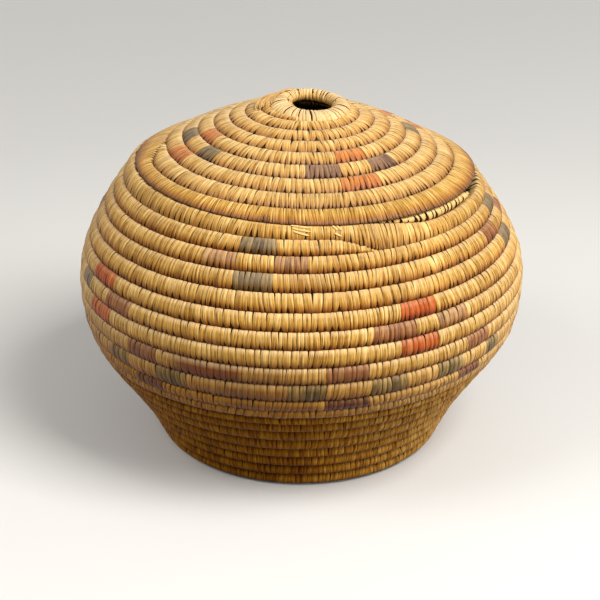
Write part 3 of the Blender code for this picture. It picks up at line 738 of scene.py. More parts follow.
def stitch_tree():
    """Geometry Nodes that wrap one stitch round the row at each point of a guide."""
    tree = bpy.data.node_groups.new("wrapped_stitches", "GeometryNodeTree")
    for name, kind, default in STITCH_INPUTS:
        socket = tree.interface.new_socket(name, in_out="INPUT", socket_type=kind)
        if default is not None:
            socket.default_value = default
    tree.interface.new_socket("Stitches", in_out="OUTPUT", socket_type="NodeSocketGeometry")
    given = add_node(tree, "NodeGroupInput", out=None)
    thickness = given["Thickness"]
    vertex = {name: add_node(tree, "GeometryNodeInputNamedAttribute", {"Name": name}, "Attribute",
                             data_type=kind)
              for kind, names in (("FLOAT", PLACING_NUMBERS), ("FLOAT_VECTOR", PLACING_VECTORS))
              for name in names}

    # one shade and one lift for each stitch
    points = given["Guide"]
    for name, lowest, step in (("tone", 0.0, 0), ("lift", -1.0, 1)):
        seed = add_node(tree, MATH, (given["Seed"], step), operation="ADD")
        chance = add_node(tree, "FunctionNodeRandomValue", {2: lowest, "Seed": seed}, 1,
                          data_type="FLOAT")
        points = add_node(tree, STORE, {"Geometry": points, "Name": name, "Value": chance},
                          data_type="FLOAT", domain="POINT")
    form = add_node(tree, "GeometryNodeObjectInfo", {"Object": given["Stitch"]}, "Geometry")
    laid = add_node(tree, "GeometryNodeInstanceOnPoints", {"Points": points, "Instance": form})
    real = add_node(tree, "GeometryNodeRealizeInstances", {"Geometry": laid})

    # the row's own axes: up from seam to seam, and out of the face
    rise = add_node(tree, VECTOR_MATH, (vertex["head"], vertex["foot"]), operation="SUBTRACT")
    up = add_node(tree, VECTOR_MATH, (rise,), operation="NORMALIZE")
    outward = add_node(tree, VECTOR_MATH, ((0, 1, 0), up), operation="CROSS_PRODUCT")
    length = add_node(tree, VECTOR_MATH, (rise,), "Value", operation="LENGTH")
    half = add_node(tree, MATH, (length, 0.5), operation="MULTIPLY")
    half = add_node(tree, MATH, (half, thickness), operation="SUBTRACT")
    half = add_node(tree, MATH, (half, 0.0), operation="MAXIMUM")
    depth = add_node(tree, MATH, (vertex["depth"], thickness), operation="SUBTRACT")

    # how far this vertex stands over the bundle, and how far above the upper seam
    section, facing = (add_node(tree, SEPARATE, (vertex[name],), None)
                       for name in ("section", "facing"))
    uneven = add_node(tree, MATH, (vertex["lift"], given["Unevenness"]), operation="MULTIPLY")
    swell = add_node(tree, MAP_RANGE, (section[1], 0.5, 0.9, 1.0, given["Nub"]),
                     interpolation_type="SMOOTHSTEP")
    swell = add_node(tree, MATH, (swell, thickness), operation="MULTIPLY")
    stand = add_node(tree, MATH, (vertex["crown"], swell, uneven), operation="MULTIPLY_ADD")
    reach = []
    for axis, size in ((0, depth), (1, half)):
        base = add_node(tree, MATH, (section[axis], size), operation="MULTIPLY")
        reach.append(add_node(tree, MATH, (facing[axis], stand, base), operation="MULTIPLY_ADD"))
    above = add_node(tree, MATH, (section[1], 0.0), operation="MAXIMUM")
    reach[1] = add_node(tree, MATH, (above, given["Overlap"], reach[1]),
                        operation="MULTIPLY_ADD")
    place = add_node(tree, VECTOR_MATH, (rise, (0.5, 0.5, 0.5), vertex["foot"]),
                     operation="MULTIPLY_ADD")
    for direction, distance in ((outward, reach[0]), (up, reach[1])):
        part = add_node(tree, VECTOR_MATH, {0: direction, "Scale": distance}, operation="SCALE")
        place = add_node(tree, VECTOR_MATH, (place, part), operation="ADD")
    radius, _, height = add_node(tree, SEPARATE, (place,), None)

    # narrower at the lower end, and slanted
    width = vertex["across"]
    side = add_node(tree, MATH, (width, 0.0), operation="GREATER_THAN")
    end = add_node(tree, MAP_RANGE, (side, 0.0, 1.0, vertex["left_end"], vertex["right_end"]))
    low = add_node(tree, MAP_RANGE, (section[1], -1.0, given["Slit Top"], end, 1.0))
    top = add_node(tree, MAP_RANGE, (section[1], 0.8, 1.0, 1.0, given["Upper End"]))
    for share in (low, top, vertex["span"]):
        width = add_node(tree, MATH, (width, share), operation="MULTIPLY")
    turned = add_node(tree, MATH, (vertex["slant"], section[1], width), operation="MULTIPLY_ADD")
    azimuth = add_node(tree, MATH, (vertex["azimuth"], turned), operation="ADD")
    right, front = (add_node(tree, MATH, (azimuth,), operation=name)
                    for name in ("SINE", "COSINE"))
    back = add_node(tree, MATH, (front, -1.0), operation="MULTIPLY")
    x, y = (add_node(tree, MATH, (radius, way), operation="MULTIPLY") for way in (right, back))
    z = add_node(tree, "ShaderNodeClamp", (height, given["Lowest"], given["Highest"]))
    position = add_node(tree, COMBINE, (x, y, z))

    # real distances across and along the stitch, for its strands
    broad = add_node(tree, MATH, (width, radius), operation="MULTIPLY")
    grain = add_node(tree, COMBINE, (broad, *reach))
    marked = add_node(tree, STORE, {"Geometry": real, "Name": "grain", "Value": grain},
                      data_type="FLOAT_VECTOR", domain="POINT")
    moved = add_node(tree, "GeometryNodeSetPosition", {"Geometry": marked, "Position": position})
    dressed = add_node(tree, "GeometryNodeSetMaterial",
                       {"Geometry": moved, "Material": given["Grass"]})
    add_node(tree, "NodeGroupOutput", {"Stitches": dressed}, None)
    return tree


# ---------------------------------------------------------------------------------------------
# Pieces
# ---------------------------------------------------------------------------------------------

def settle(mesh, lid=False):
    """Sink and lean a mesh as the real basket has."""
    places = np.empty(len(mesh.vertices) * 3, dtype=np.float32)
    mesh.vertices.foreach_get("co", places)
    x, y, z = places.reshape(-1, 3).T.astype(float)
    heights, *columns = np.array(SETTLING).T
    if lid:
        columns = [[value] * len(heights) for value in LID_SETTLING]
    strength = bpy.context.scene.basket_sizes.settling
    rise, front, back, right, shift, growth = (
        strength * np.interp(z / BODY_HEIGHT, heights, column) for column in columns)
    grown = 1 + growth / SETTLING_RADIUS
    sloped = front * np.maximum(-y, 0) + back * np.maximum(y, 0) + right * x
    moved = np.stack((x * grown + shift * MM, y * grown, z + rise * MM + sloped / 100), axis=1)
    mesh.vertices.foreach_set("co", moved.astype(np.float32).ravel())
    mesh.update()


def to_piece(name, mesh, body, material=None):
    """Make a mesh a piece that moves with a body, and that stands for the node of its name."""
    settle(mesh, lid=body == "lid")
    piece = bpy.data.objects.new(f"{name}_stitched" if name in frame["nodes"] else name, mesh)
    bpy.context.scene.collection.objects.link(piece)
    if material:
        mesh.materials.append(material)
    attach(piece, body)
    if name in frame["nodes"]:
        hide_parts(name)


def stitched(name, guide, body, material, flat, seed, **inputs):
    """Run the stitch nodes on a guide, and make a piece of the plain mesh that comes of it."""
    sizes = bpy.context.scene.basket_sizes
    tree = bpy.data.node_groups.get("wrapped_stitches") or stitch_tree()
    form = f"stitch_form_{flat}"
    shape = bpy.data.objects.get(form) or stitch_form(form, flat)
    values = {"Stitch": shape, "Thickness": sizes.stitch_thickness, "Seed": sizes.seed + seed,
              "Grass": material, **inputs}
    holder = bpy.data.objects.new("guide", guide.mesh("guide"))
    bpy.context.scene.collection.objects.link(holder)
    stitcher = holder.modifiers.new("wrapped stitches", "NODES")
    stitcher.node_group = tree
    sockets = {item.name: item.identifier for item in tree.interface.items_tree}
    for key, value in values.items():
        stitcher[sockets[key]] = value
    graph = bpy.context.evaluated_depsgraph_get()
    mesh = bpy.data.meshes.new_from_object(holder.evaluated_get(graph),
                                           preserve_all_data_layers=True, depsgraph=graph)
    holder.modifiers.remove(stitcher)
    bpy.data.objects.remove(holder)
    for attribute in PLACING_NUMBERS + PLACING_VECTORS:
        if attribute in mesh.attributes and attribute not in SHOWN_ATTRIBUTES:
            mesh.attributes.remove(mesh.attributes[attribute])
    mesh.name = name
    to_piece(name, mesh, body)


def around(profile_point, azimuth):
    """The point in space of a point (radius, height) at an azimuth."""
    radius, height = profile_point
    return Vector((radius * sin(azimuth), -radius * cos(azimuth), height))


def tube_mesh(name, rings, grains, closed, tone=0.5):
    """A tube through rings of points, with capped ends unless it closes on itself."""
    sides = len(rings[0])
    points = [point for ring in rings for point in ring]
    faces = ring_faces(len(rings), sides, closed)
    if not closed:
        faces.append(tuple(range(sides)))
        faces.append(tuple(reversed(range(len(points) - sides, len(points)))))
    mesh = bpy.data.meshes.new(name)
    mesh.from_pydata([tuple(point) for point in points], [], faces)
    mesh.shade_smooth()
    store(mesh, "grain", [grain for ring in grains for grain in ring])
    store(mesh, "tone", [tone] * len(points))
    store(mesh, "crown", [1.0] * len(points))
    return mesh


def bundle_mesh(name, row, thickness, lowest=0.0, highest=1.0):
    """The bundle inside a row."""
    count = ceil(row.turns * SECTIONS_PER_TURN)
    turns = np.linspace(0, row.turns, count + 1)
    if row.closed:
        turns = turns[:-1]
    rings, grains, along = [], [], 0.0
    for turn in turns:
        foot, head = (np.array(place) for place in row.seams(turn))
        rise = head - foot
        height = max(np.linalg.norm(rise), 0.1 * MM)
        up = rise / height
        out = np.array([up[1], -up[0]])
        depth = row.depth(turn) - thickness
        ring, grain = [], []
        for side in range(BUNDLE_SIDES):
            (x, y), _ = row_section((side + 0.5) / BUNDLE_SIDES * tau, row.flat)
            place = (foot + head) / 2 + out * x * depth + up * y * height / 2
            place[1] = min(max(place[1], lowest), highest)
            ring.append(around(place, row.azimuth(turn)))
            grain.append((along, x * depth, y * height / 2))
        rings.append(ring)
        grains.append(grain)
        along += row.radius(turn) * tau / SECTIONS_PER_TURN
    return tube_mesh(name, rings, grains, row.closed)


def joined(name, meshes):
    """One mesh of several tubes."""
    points, faces = [], []
    values = {"grain": [], "tone": [], "crown": []}
    for mesh in meshes:
        start = len(points)
        points += [vertex.co[:] for vertex in mesh.vertices]
        faces += [[index + start for index in face.vertices] for face in mesh.polygons]
        values["grain"] += [item.vector[:] for item in mesh.attributes["grain"].data]
        for kind in ("tone", "crown"):
            values[kind] += [item.value for item in mesh.attributes[kind].data]
        bpy.data.meshes.remove(mesh)
    mesh = bpy.data.meshes.new(name)
    mesh.from_pydata(points, [], faces)
    mesh.shade_smooth()
    for kind, items in values.items():
        store(mesh, kind, items)
    return mesh


def strand_mesh(path, radius, tone, flat=0.5, sides=8, taper=0.35):
    """A loose flat strand that follows a path and thins at both ends."""
    path = [Vector(point) for point in path]
    rings, grains, along = [], [], 0.0
    for index, point in enumerate(path):
        ahead = path[min(index + 1, len(path) - 1)] - path[max(index - 1, 0)]
        ahead.normalize()
        up = Vector((point.x, point.y, 0)).normalized() * 0.5 + Vector((0, 0, 0.8))
        side = ahead.cross(up).normalized()
        normal = side.cross(ahead)
        part = index / (len(path) - 1)
        size = radius * (taper + (1 - taper) * sin(pi * part) ** 0.5)
        ring, grain = [], []
        for step in range(sides):
            angle = step / sides * tau
            ring.append(point + side * cos(angle) * size + normal * sin(angle) * size * flat)
            grain.append((cos(angle) * size, along, sin(angle) * size))
        rings.append(ring)
        grains.append(grain)
        if index:
            along += (point - path[index - 1]).length
    return tube_mesh("strand", rings, grains, closed=False, tone=tone)


# ---------------------------------------------------------------------------------------------
# Materials
# ---------------------------------------------------------------------------------------------

# Fibres of split grass: width and length, how far the pattern moves from stitch to stitch, detail
BROAD_FIBRES = (1.0 * MM, 20 * MM, 37.0, 1.0)
FINE_FIBRES = (0.5 * MM, 9 * MM, 91.0, 2.0)
FIBRE_SHADES = (0.9, 1.9)                    # how much the broad and the fine ones shade it
SHADE_START = -0.9                           # so that they centre on the middle colour
# Colours laid over the fibres
# painted shade: each row darker and browner towards its lower seam, by share of the row's height
LOW_END_SHADING = ((0.0, "#6E4A26"), (0.15, "#B08654"), (0.34, "#E6CD9F"), (0.56, "#FFFFFF"))
# painted highlight: paler and pinker where a stitch bends over the top of the row
PAINTED_HIGHLIGHT, PAINTED_HIGHLIGHT_SHARE = "#F2D3AC", 0.55       # where a stitch bends over the row
PAINTED_HIGHLIGHT_HEIGHTS = (0.45, 0.9)                 # from the row's middle, 0, to its upper seam, 1
LOWER_WALL_SHADE = "#C6A648"                             # painted shade on the lower wall
LOWER_WALL_SHADE_HEIGHTS = (66 * MM, 90 * MM)            # all below the first, nothing above the second
LIT_RIGHT_AT = 90 * MM                          # to the right of the middle, where less painted shade is laid, as that side is lit more
LIT_RIGHT_SHARE = 0.4
# What darkens, lightens or roughens it: from, to, and what these two become
PATCH_LIGHTNESS = (0.3, 0.7, 0.9, 1.08)      # over the patches' noise
PATCHES_PER_METRE = 32.0
GAP_LIGHTNESS = (0.5, 0.9, 0.74, 1.0)        # painted shade in the gaps between stitches, over how far the stitch stands up
SPLIT_LIGHTNESS = (0.0, 0.035, 0.72, 1.0)    # over the distance from a split
# painted shade in the seam above a row, between these heights
GROOVE_HEIGHTS = (0.55, 0.95)
GRASS_ROUGHNESS = (0.3, 0.7, 0.3, 0.48)      # over the fine fibres' noise
STEM_WIDTH, STEM_LENGTH = 0.7 * MM, 30 * MM  # in a bundle


def new_material(name):
    """A material and its node tree, with nothing in it."""
    material = bpy.data.materials.new(name)
    material.use_nodes = True
    material.node_tree.nodes.clear()
    return material, material.node_tree


def set_stops(ramp, stops):
    """Give a colour ramp its stops: places and colours."""
    elements = ramp.color_ramp.elements
    for element, (place, colour) in zip(elements, (stops[0], stops[-1])):
        element.position, element.color = place, colour
    for place, colour in stops[1:-1]:
        elements.new(place).color = colour


def split_grass(name, dark, middle, pale, stained=None, evenness=0.14, low_end_shade=1.0, nub=0.5,
                groove=0.0, gloss=0.27):
    """Split grass, laid flat and stitched: satin, with fine long fibres and uneven colour.

    The fibres are about 0.5 mm wide, and some stitches are split every millimetre or so.  Painted
    shade darkens and browns the lower ends of the rows, the gaps between stitches and the seams,
    and a painted highlight pales the upper ends.  evenness says how much the stitches differ in
    shade, soil how strong the painted shade on their lower ends is, nub how strong the painted
    highlight on their upper ends is, groove how dark the painted shade in the seam above them is,
    and gloss is the specular level of its satin.
    """
    if name in bpy.data.materials:
        return bpy.data.materials[name]
    material, tree = new_material(name)
    grain, section = (add_node(tree, ATTRIBUTE, (), "Vector", attribute_name=kind)
                      for kind in ("grain", "section"))
    tone, crown, stains = (add_node(tree, ATTRIBUTE, (), "Fac", attribute_name=kind)
                           for kind in ("tone", "crown", "stained"))
    height = add_node(tree, SEPARATE, (section,), 1)
    fibres = []
    for width, length, offset, detail in (BROAD_FIBRES, FINE_FIBRES):
        laid = add_node(tree, VECTOR_MATH, (grain, (1 / width, 1 / length, 1 / length)),
                        operation="MULTIPLY")
        shift = add_node(tree, MATH, (tone, offset), operation="MULTIPLY")
        fibres.append(add_node(tree, NOISE, {"Vector": laid, "W": shift, "Scale": 1.0,
                                             "Detail": detail, "Roughness": 0.6},
                               "Fac", noise_dimensions="4D"))
    broad, fine = fibres

    # shade of the fibres
    shade = SHADE_START - evenness / 2
    for source, share in zip((tone, broad, fine), (evenness, *FIBRE_SHADES)):
        shade = add_node(tree, MATH, (source, share, shade), operation="MULTIPLY_ADD")
    colour = add_node(tree, RAMP, (shade,))
    set_stops(colour.node, ((0.08, dark), (0.5, middle), (0.95, pale)))

    # painted highlight, paler and pinker, where a stitch goes over the row, and painted shade,
    # browner, below
    top = add_node(tree, MAP_RANGE, (height, *PAINTED_HIGHLIGHT_HEIGHTS, 0.0, nub))
    painted_highlight = mixed(pale, linear(PAINTED_HIGHLIGHT), PAINTED_HIGHLIGHT_SHARE)
    share = add_node(tree, MAP_RANGE, (height, -1.0, 1.0))
    # brown holds the painted shade on the lower part of each row
    brown = add_node(tree, RAMP, (share,))
    set_stops(brown.node, [(place, linear(shade)) for place, shade in LOW_END_SHADING])

    # painted shade on the lower wall, less of it on the right, which is lit more
    where = add_node(tree, COORDINATES, (), "Object")
    x, _, z = add_node(tree, SEPARATE, (where,), None)
    lit_right = add_node(tree, MAP_RANGE, (x, 0.0, LIT_RIGHT_AT, 1.0, LIT_RIGHT_SHARE))
    lower_wall_shade = add_node(tree, MAP_RANGE, (z, *LOWER_WALL_SHADE_HEIGHTS, lit_right, 0.0))
    layers = [(stains, stained, "MIX")] if stained else []
    layers += [(top, painted_highlight, "MIX"), (low_end_shade, brown, "MULTIPLY"),
               (lower_wall_shade, linear(LOWER_WALL_SHADE), "MULTIPLY")]
    for share, shade, blend in layers:
        colour = add_node(tree, MIX, {0: share, 6: colour, 7: shade}, 2,
                          data_type="RGBA", blend_type=blend)

    # patches that sun and hands have changed, about 30 mm across
    patches = add_node(tree, NOISE, {"Vector": where, "Scale": PATCHES_PER_METRE, "Detail": 2.0},
                       "Fac")
    factor = add_node(tree, MAP_RANGE, (patches, *PATCH_LIGHTNESS))

    # painted shade in the gaps between stitches and in the seams, and dark splits within the
    # stitches
    split = add_node(tree, MATH, (broad, 0.5), operation="SUBTRACT")
    split = add_node(tree, MATH, (split,), operation="ABSOLUTE")
    for shares in ((crown, *GAP_LIGHTNESS), (split, *SPLIT_LIGHTNESS),
                   (height, *GROOVE_HEIGHTS, 1.0, 1 - groove)):
        share = add_node(tree, MAP_RANGE, shares)
        factor = add_node(tree, MATH, (factor, share), operation="MULTIPLY")
    colour = add_node(tree, VECTOR_MATH, {0: colour, "Scale": factor}, operation="SCALE")

    relief = add_node(tree, MATH, (broad, 0.5, fine), operation="MULTIPLY_ADD")
    bump = add_node(tree, BUMP, {"Strength": 0.9, "Distance": 0.2 * MM, "Height": relief})
    rough = add_node(tree, MAP_RANGE, (fine, *GRASS_ROUGHNESS))
    shader = add_node(tree, PRINCIPLED, {"Base Color": colour, "Roughness": rough,
                                         "Normal": bump, "Specular IOR Level": gloss})
    add_node(tree, SURFACE, {"Surface": shader}, None)
    material.diffuse_color = middle
    return material


def grass_bundle(name, colour):
    """Whole grass stems, gathered in a bundle: dull, with painted shade in long gaps between the
    stems.
    """
    if name in bpy.data.materials:
        return bpy.data.materials[name]
    material, tree = new_material(name)
    grain = add_node(tree, ATTRIBUTE, (), "Vector", attribute_name="grain")
    laid = add_node(tree, VECTOR_MATH, (grain, (1 / STEM_LENGTH, 1 / STEM_WIDTH, 1 / STEM_WIDTH)),
                    operation="MULTIPLY")
    stems = add_node(tree, NOISE, {"Vector": laid, "Scale": 1.0, "Detail": 2.0}, "Fac")
    shade = add_node(tree, RAMP, (stems,))
    set_stops(shade.node, ((0.35, scaled(colour, 0.35)), (0.7, colour)))
    bump = add_node(tree, BUMP, {"Strength": 0.6, "Distance": 0.3 * MM, "Height": stems})
    shader = add_node(tree, PRINCIPLED, {"Base Color": shade, "Roughness": 0.75,
                                         "Normal": bump, "Specular IOR Level": 0.1})
    add_node(tree, SURFACE, {"Surface": shader}, None)
    material.diffuse_color = colour
    return material


def scaled(colour, factor):
    """A darker colour, as opaque as before."""
    return (*[value * factor for value in colour[:3]], 1)


def mixed(first, second, share):
    """Two colours mixed, with that share of the second."""
    return tuple(one * (1 - share) + other * share for one, other in zip(first, second))


# Painted shade and painted highlight, evenness and gloss of the grass: on the body, near the foot,
# on the lid, on the lid's edge, on the mouth row, and where it is fresh
GRASS_KINDS = {
    "body": {},
    "low": {"nub": 0.0, "groove": 0.5, "evenness": 0.25, "gloss": 0.05},
    "lid": {"low_end_shade": 0.75, "gloss": 0.3},
    "edge": {"low_end_shade": 0.9, "nub": 0.2, "gloss": 0.3},
    "rim": {"low_end_shade": 0.6, "nub": 0.4},
    "fresh": {"low_end_shade": 0.5},
}
LID_BLEACHING = 0.35             # how far the lid's grass has gone towards its bleached shades
BLEACHED_STRAW, BLEACHED_PALE = "#E8C284", "#FAE0A6"
DYED_GRASS = {"evenness": 0.4, "nub": 0.3}
DYED_DARKEST = 0.42              # of the dye, in its darkest strands
# How much straw the palest strands of a dye show, where it has worn off
USUAL_STRAW_SHARE = 0.22
STRAW_SHARES = {"green": 0.6, "mauve": 0.4}


def natural(kind):
    """Undyed grass of one of the kinds: bleached on the lid, and paler where it is fresh."""
    colours = bpy.context.scene.grass_colours
    dark, middle, pale = (tuple(colour) for colour in (
        colours.straw_dark, colours.straw, colours.straw_pale))
    if kind == "fresh":
        dark, middle = middle, pale
    elif kind == "lid":
        bleached = (middle, linear(BLEACHED_STRAW), linear(BLEACHED_PALE))
        dark, middle, pale = (mixed(colour, shade, LID_BLEACHING)
                              for colour, shade in zip((dark, middle, pale), bleached))
    return split_grass(f"split_grass_natural_{kind}", dark, middle, pale, tuple(colours.stained),
                       **GRASS_KINDS[kind])


def dyed(dye, kind):
    """Dyed grass, with the natural colour coming through in its palest strands."""
    colours = bpy.context.scene.grass_colours
    colour = tuple(getattr(colours, dye))
    pale = mixed(colour, colours.straw_pale, STRAW_SHARES.get(dye, USUAL_STRAW_SHARE))
    return split_grass(f"split_grass_dyed_{dye}_{kind}", scaled(colour, DYED_DARKEST), colour,
                       pale, **{**GRASS_KINDS[kind], **DYED_GRASS})


def bundle():
    """The dry grass that every row is wound of."""
    return grass_bundle("grass_bundle_dry", tuple(bpy.context.scene.grass_colours.bundle))


# ---------------------------------------------------------------------------------------------
# Operators
# ---------------------------------------------------------------------------------------------

def stitch_run(row, parts, bands, width, body, seed, stains=(), openness=1.0, kind=None,
               flat=None, **inputs):
    """Stitch a run of rows: one piece for each part, each dyed band, and each far-side dye.

    openness is a number, or pairs of azimuth in degrees and openness.
    """
    sizes = bpy.context.scene.basket_sizes
    chance = random.Random(sizes.seed * 100 + seed)
    kind = kind or ("body" if body == "basket" else "lid")
    gap = 0
    # four draws for three waves, so that the later ones stay as they are
    starts = [chance.uniform(0, tau) for _ in range(4)]
    places, values = zip(*openness) if isinstance(openness, tuple) else ((0,), (openness,))
    guides = {}
    for name, dye, first, last in owners(parts, bands):
        guide, _ = guides.setdefault(name, (Guide(), dye))
        for turn, share in lay_stitches(row, first, last, width, sizes, chance):
            wave = sum(size * sin(turn * pace + start)
                       for (pace, size), start in zip(SLANT_WAVES, starts))
            slant = (sizes.slant * (WAVE_SHARE * wave + chance.uniform(-0.5, 0.5))
                     / row.radius(turn))
            stained = 0 if dye or not stains else stain(row, turn, stains)
            azimuth = (degrees(row.azimuth(turn)) + 180) % 360 - 180
            most = sizes.gap * np.interp(azimuth, places, values)
            before, gap = gap, most * max(0, chance.gauss(GAP_MEAN, GAP_SPREAD))
            ends = [max(LEAST_END, 1 - side * width / (share * tau * row.radius(turn)))
                    for side in (before, gap)]
            guide.add(row, turn, share, slant, ends, stained)
    for step, (name, (guide, dye)) in enumerate(guides.items()):
        stitched(name, guide, body, dyed(dye, kind) if dye else natural(kind),
                 flat=flat or row.flat, seed=seed + 10 * step, **inputs)


class BASKET_OT_wind_bundles(bpy.types.Operator):
    """Wind the grass bundles that lie under the stitches"""
    bl_idname = "basket.wind_bundles"
    bl_label = "Wind bundles"

    def execute(self, context):
        thin = context.scene.basket_sizes.stitch_thickness
        wall, foot, rim, lip = wall_rows()
        lid, edge = lid_rows()
        body = [bundle_mesh("rows", row, thin, lowest=BUNDLE_INSET,
                            highest=BODY_HEIGHT - BUNDLE_INSET)
                for row in (wall, foot, rim, lip)]
        to_piece("body_bundle", joined("body_bundle", body), "basket", bundle())
        to_piece("floor_bundle", bundle_mesh("floor_bundle", floor_rows(), thin), "basket",
                 bundle())
        cover = [bundle_mesh("rows", row, thin, lowest=SEAT_HEIGHT + BUNDLE_INSET)
                 for row in (lid, edge)]
        to_piece("lid_bundle", joined("lid_bundle", cover), "lid", bundle())
        return {"FINISHED"}


class BASKET_OT_stitch_body(bpy.types.Operator):
    """Stitch the wall with its dyed bands, the foot, the mouth and the floor"""
    bl_idname = "basket.stitch_body"
    bl_label = "Stitch body"

    def execute(self, context):
        sizes = context.scene.basket_sizes
        wall, foot, rim, lip = wall_rows()
        bands = band_limits(wall, (*BODY_BLOCKS, *far_blocks(FAR_BODY_BLOCKS, "far_body")))
        low_wall, high_wall = WALL_PARTS[:1], WALL_PARTS[1:]
        low_bands = [band for band in bands if band[2] < low_wall[0][2]]
        high_bands = [band for band in bands if band[2] > low_wall[0][2]]
        low = {"openness": LOW_OPENNESS, "flat": LOW_FLATNESS, "kind": "low", **CLOSE_STITCHES}
        stitch_run(wall, low_wall, low_bands, sizes.low_stitch_width, "basket", 1, BODY_STAINS,
                   **low)
        stitch_run(wall, high_wall, high_bands, sizes.stitch_width, "basket", 10, BODY_STAINS,
                   openness=0.9, **{"Upper End": 0.95})
        stitch_run(foot, (("foot_coil", 0, 1),), [], sizes.low_stitch_width, "basket", 2, **low)
        stitch_run(rim, (("rim_coil", 0, 1),), [], sizes.stitch_width, "basket", 3,
                   openness=RIM_OPENNESS, kind="rim", Highest=BODY_HEIGHT,
                   **CLOSE_STITCHES, **{"Slit Top": 0.1})
        stitch_run(lip, (("mouth_lip", 0, lip.turns),), [], LIP_WRAP, "basket", 9, kind="fresh",
                   openness=1.2, Highest=BODY_HEIGHT, **{"Upper End": 0.6, "Slit Top": 0.9})
        stitch_run(floor_rows(), (("floor_coil", 0, FLOOR_TURNS + 1),), [], sizes.stitch_width,
                   "basket", 4)
        return {"FINISHED"}


class BASKET_OT_stitch_lid(bpy.types.Operator):
    """Stitch the lid with its dyed bands, and wrap its edge closely"""
    bl_idname = "basket.stitch_lid"
    bl_label = "Stitch lid"

    def execute(self, context):
        sizes = context.scene.basket_sizes
        lid, edge = lid_rows()
        bands = band_limits(lid, (*LID_BLOCKS, *far_blocks(FAR_LID_BLOCKS, "far_lid")))
        stitch_run(lid, (("lid_coil", 0, LID_TURNS),), bands, sizes.lid_stitch_width, "lid", 5,
                   openness=1.1, Lowest=SEAT_HEIGHT, Thickness=0.52 * MM,
                   **{"Slit Top": -0.5, "Upper End": 0.95})
        stitch_run(edge, (("lid_edge_coil", 0, 1),), [], sizes.edge_stitch_width, "lid", 6,
                   openness=0.08, kind="edge", Lowest=SEAT_HEIGHT, Unevenness=0.03 * MM,
                   Thickness=0.34 * MM, Overlap=0.2 * MM)
        return {"FINISHED"}


class BASKET_OT_wrap_rings(bpy.types.Operator):
    """Wrap the finger ring, the collar under the lid and the knot of the floor"""
    bl_idname = "basket.wrap_rings"
    bl_label = "Wrap rings"

    def execute(self, context):
        for node, row, width, openness in (("lid_ring", ring_row(), RING_WRAP, 0.05),
                                           ("lid_collar_coil", collar_row(), COLLAR_WRAP, 0.3)):
            stitch_run(row, ((node, 0, 1),), [], width, "lid", 7, openness=openness,
                       Overlap=0.0, Thickness=RING_THICKNESS)
            to_piece(f"{node}_bundle", bundle_mesh(node, row, RING_THICKNESS), "lid", bundle())
        low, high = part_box("floor_knot")
        height, half = (low.z + high.z) / 2, KNOT_HEIGHT_SHARE * (high.z - low.z) / 2
        seams = ((KNOT_RADIUS / 2, height - half), (KNOT_RADIUS / 2, height + half))
        knot = Row(0, 1, KNOT_RADIUS / 2, lambda turn: seams, closed=True, flat=0)
        stitch_run(knot, (("floor_knot", 0, 1),), [], RING_WRAP, "basket", 8, openness=0)
        return {"FINISHED"}


def tail_path(ring, index, start, end):
    """A strand of the tail, from the ring's left side down on to the lid."""
    near, far = ((first + step * index) * MM for first, step in TAIL_REACHES)
    for part in np.linspace(0, 1, TAIL_POINTS):
        azimuth = start + (end - start) * part
        reach = near + (far - near) * part ** 1.4
        turn = azimuth / tau % 1
        foot, head = (np.array(place) for place in ring.seams(turn))
        across = min(1, abs(reach - ring.radius(turn)) / ring.depth(turn))
        on_ring = (foot[1] + head[1]) / 2 + (head[1] - foot[1]) / 2 * (1 - across ** 2) ** 0.5
        on_lid = SEAT_HEIGHT + LID_RISE + LID_BULGE - LID_TOP_SLOPE * (reach - LID_TOP_RADIUS)
        lift = (1.6 * min(1, part / 0.35) - 1.0) * MM
        yield around((reach, max(on_ring, on_lid) + lift), azimuth)


def lashing_path(rim, first, low, last, high):
    """A strand over the outer face of the mouth row."""
    for part in np.linspace(0, 1, LASHING_POINTS):
        azimuth = radians(first + (last - first) * part)
        turn = (azimuth - rim.start_azimuth) / tau % 1
        foot, head = (np.array(place) for place in rim.seams(turn))
        up = (head - foot) / np.linalg.norm(head - foot)
        out = np.array([up[1], -up[0]])
        share = low + (high - low) * part
        above = 2 * share - 1
        bulge = rim.flat + (1 - rim.flat) * (1 - above ** 2) ** 0.5
        lift = rim.half_depth * bulge * (1 + TOP_LEAN * above) + 0.1 * MM
        yield around(foot + (head - foot) * share + out * lift, azimuth)


class BASKET_OT_tie_strands(bpy.types.Operator):
    """Lay the tail beside the finger ring and the lashings on the mouth row"""
    bl_idname = "basket.tie_strands"
    bl_label = "Tie strands"

    def execute(self, context):
        chance = random.Random(context.scene.basket_sizes.seed)
        ring = ring_row()
        strands = []
        for index in range(TAIL_STRANDS):
            ends = [radians(value + chance.uniform(-5, 5)) for value in TAIL_AZIMUTHS]
            strands.append(strand_mesh(tail_path(ring, index, *ends),
                                       chance.uniform(*TAIL_RADII) * MM,
                                       chance.uniform(*TAIL_TONES)))
        to_piece("ring_tail", joined("ring_tail", strands), "lid", natural("lid"))
        _, _, rim, _ = wall_rows()
        for name, places in LASHINGS:
            strands = [strand_mesh(lashing_path(rim, *place), LASHING_RADIUS, LASHING_TONE)
                       for place in places]
            to_piece(name, joined(name, strands), "basket", natural("fresh"))
        return {"FINISHED"}


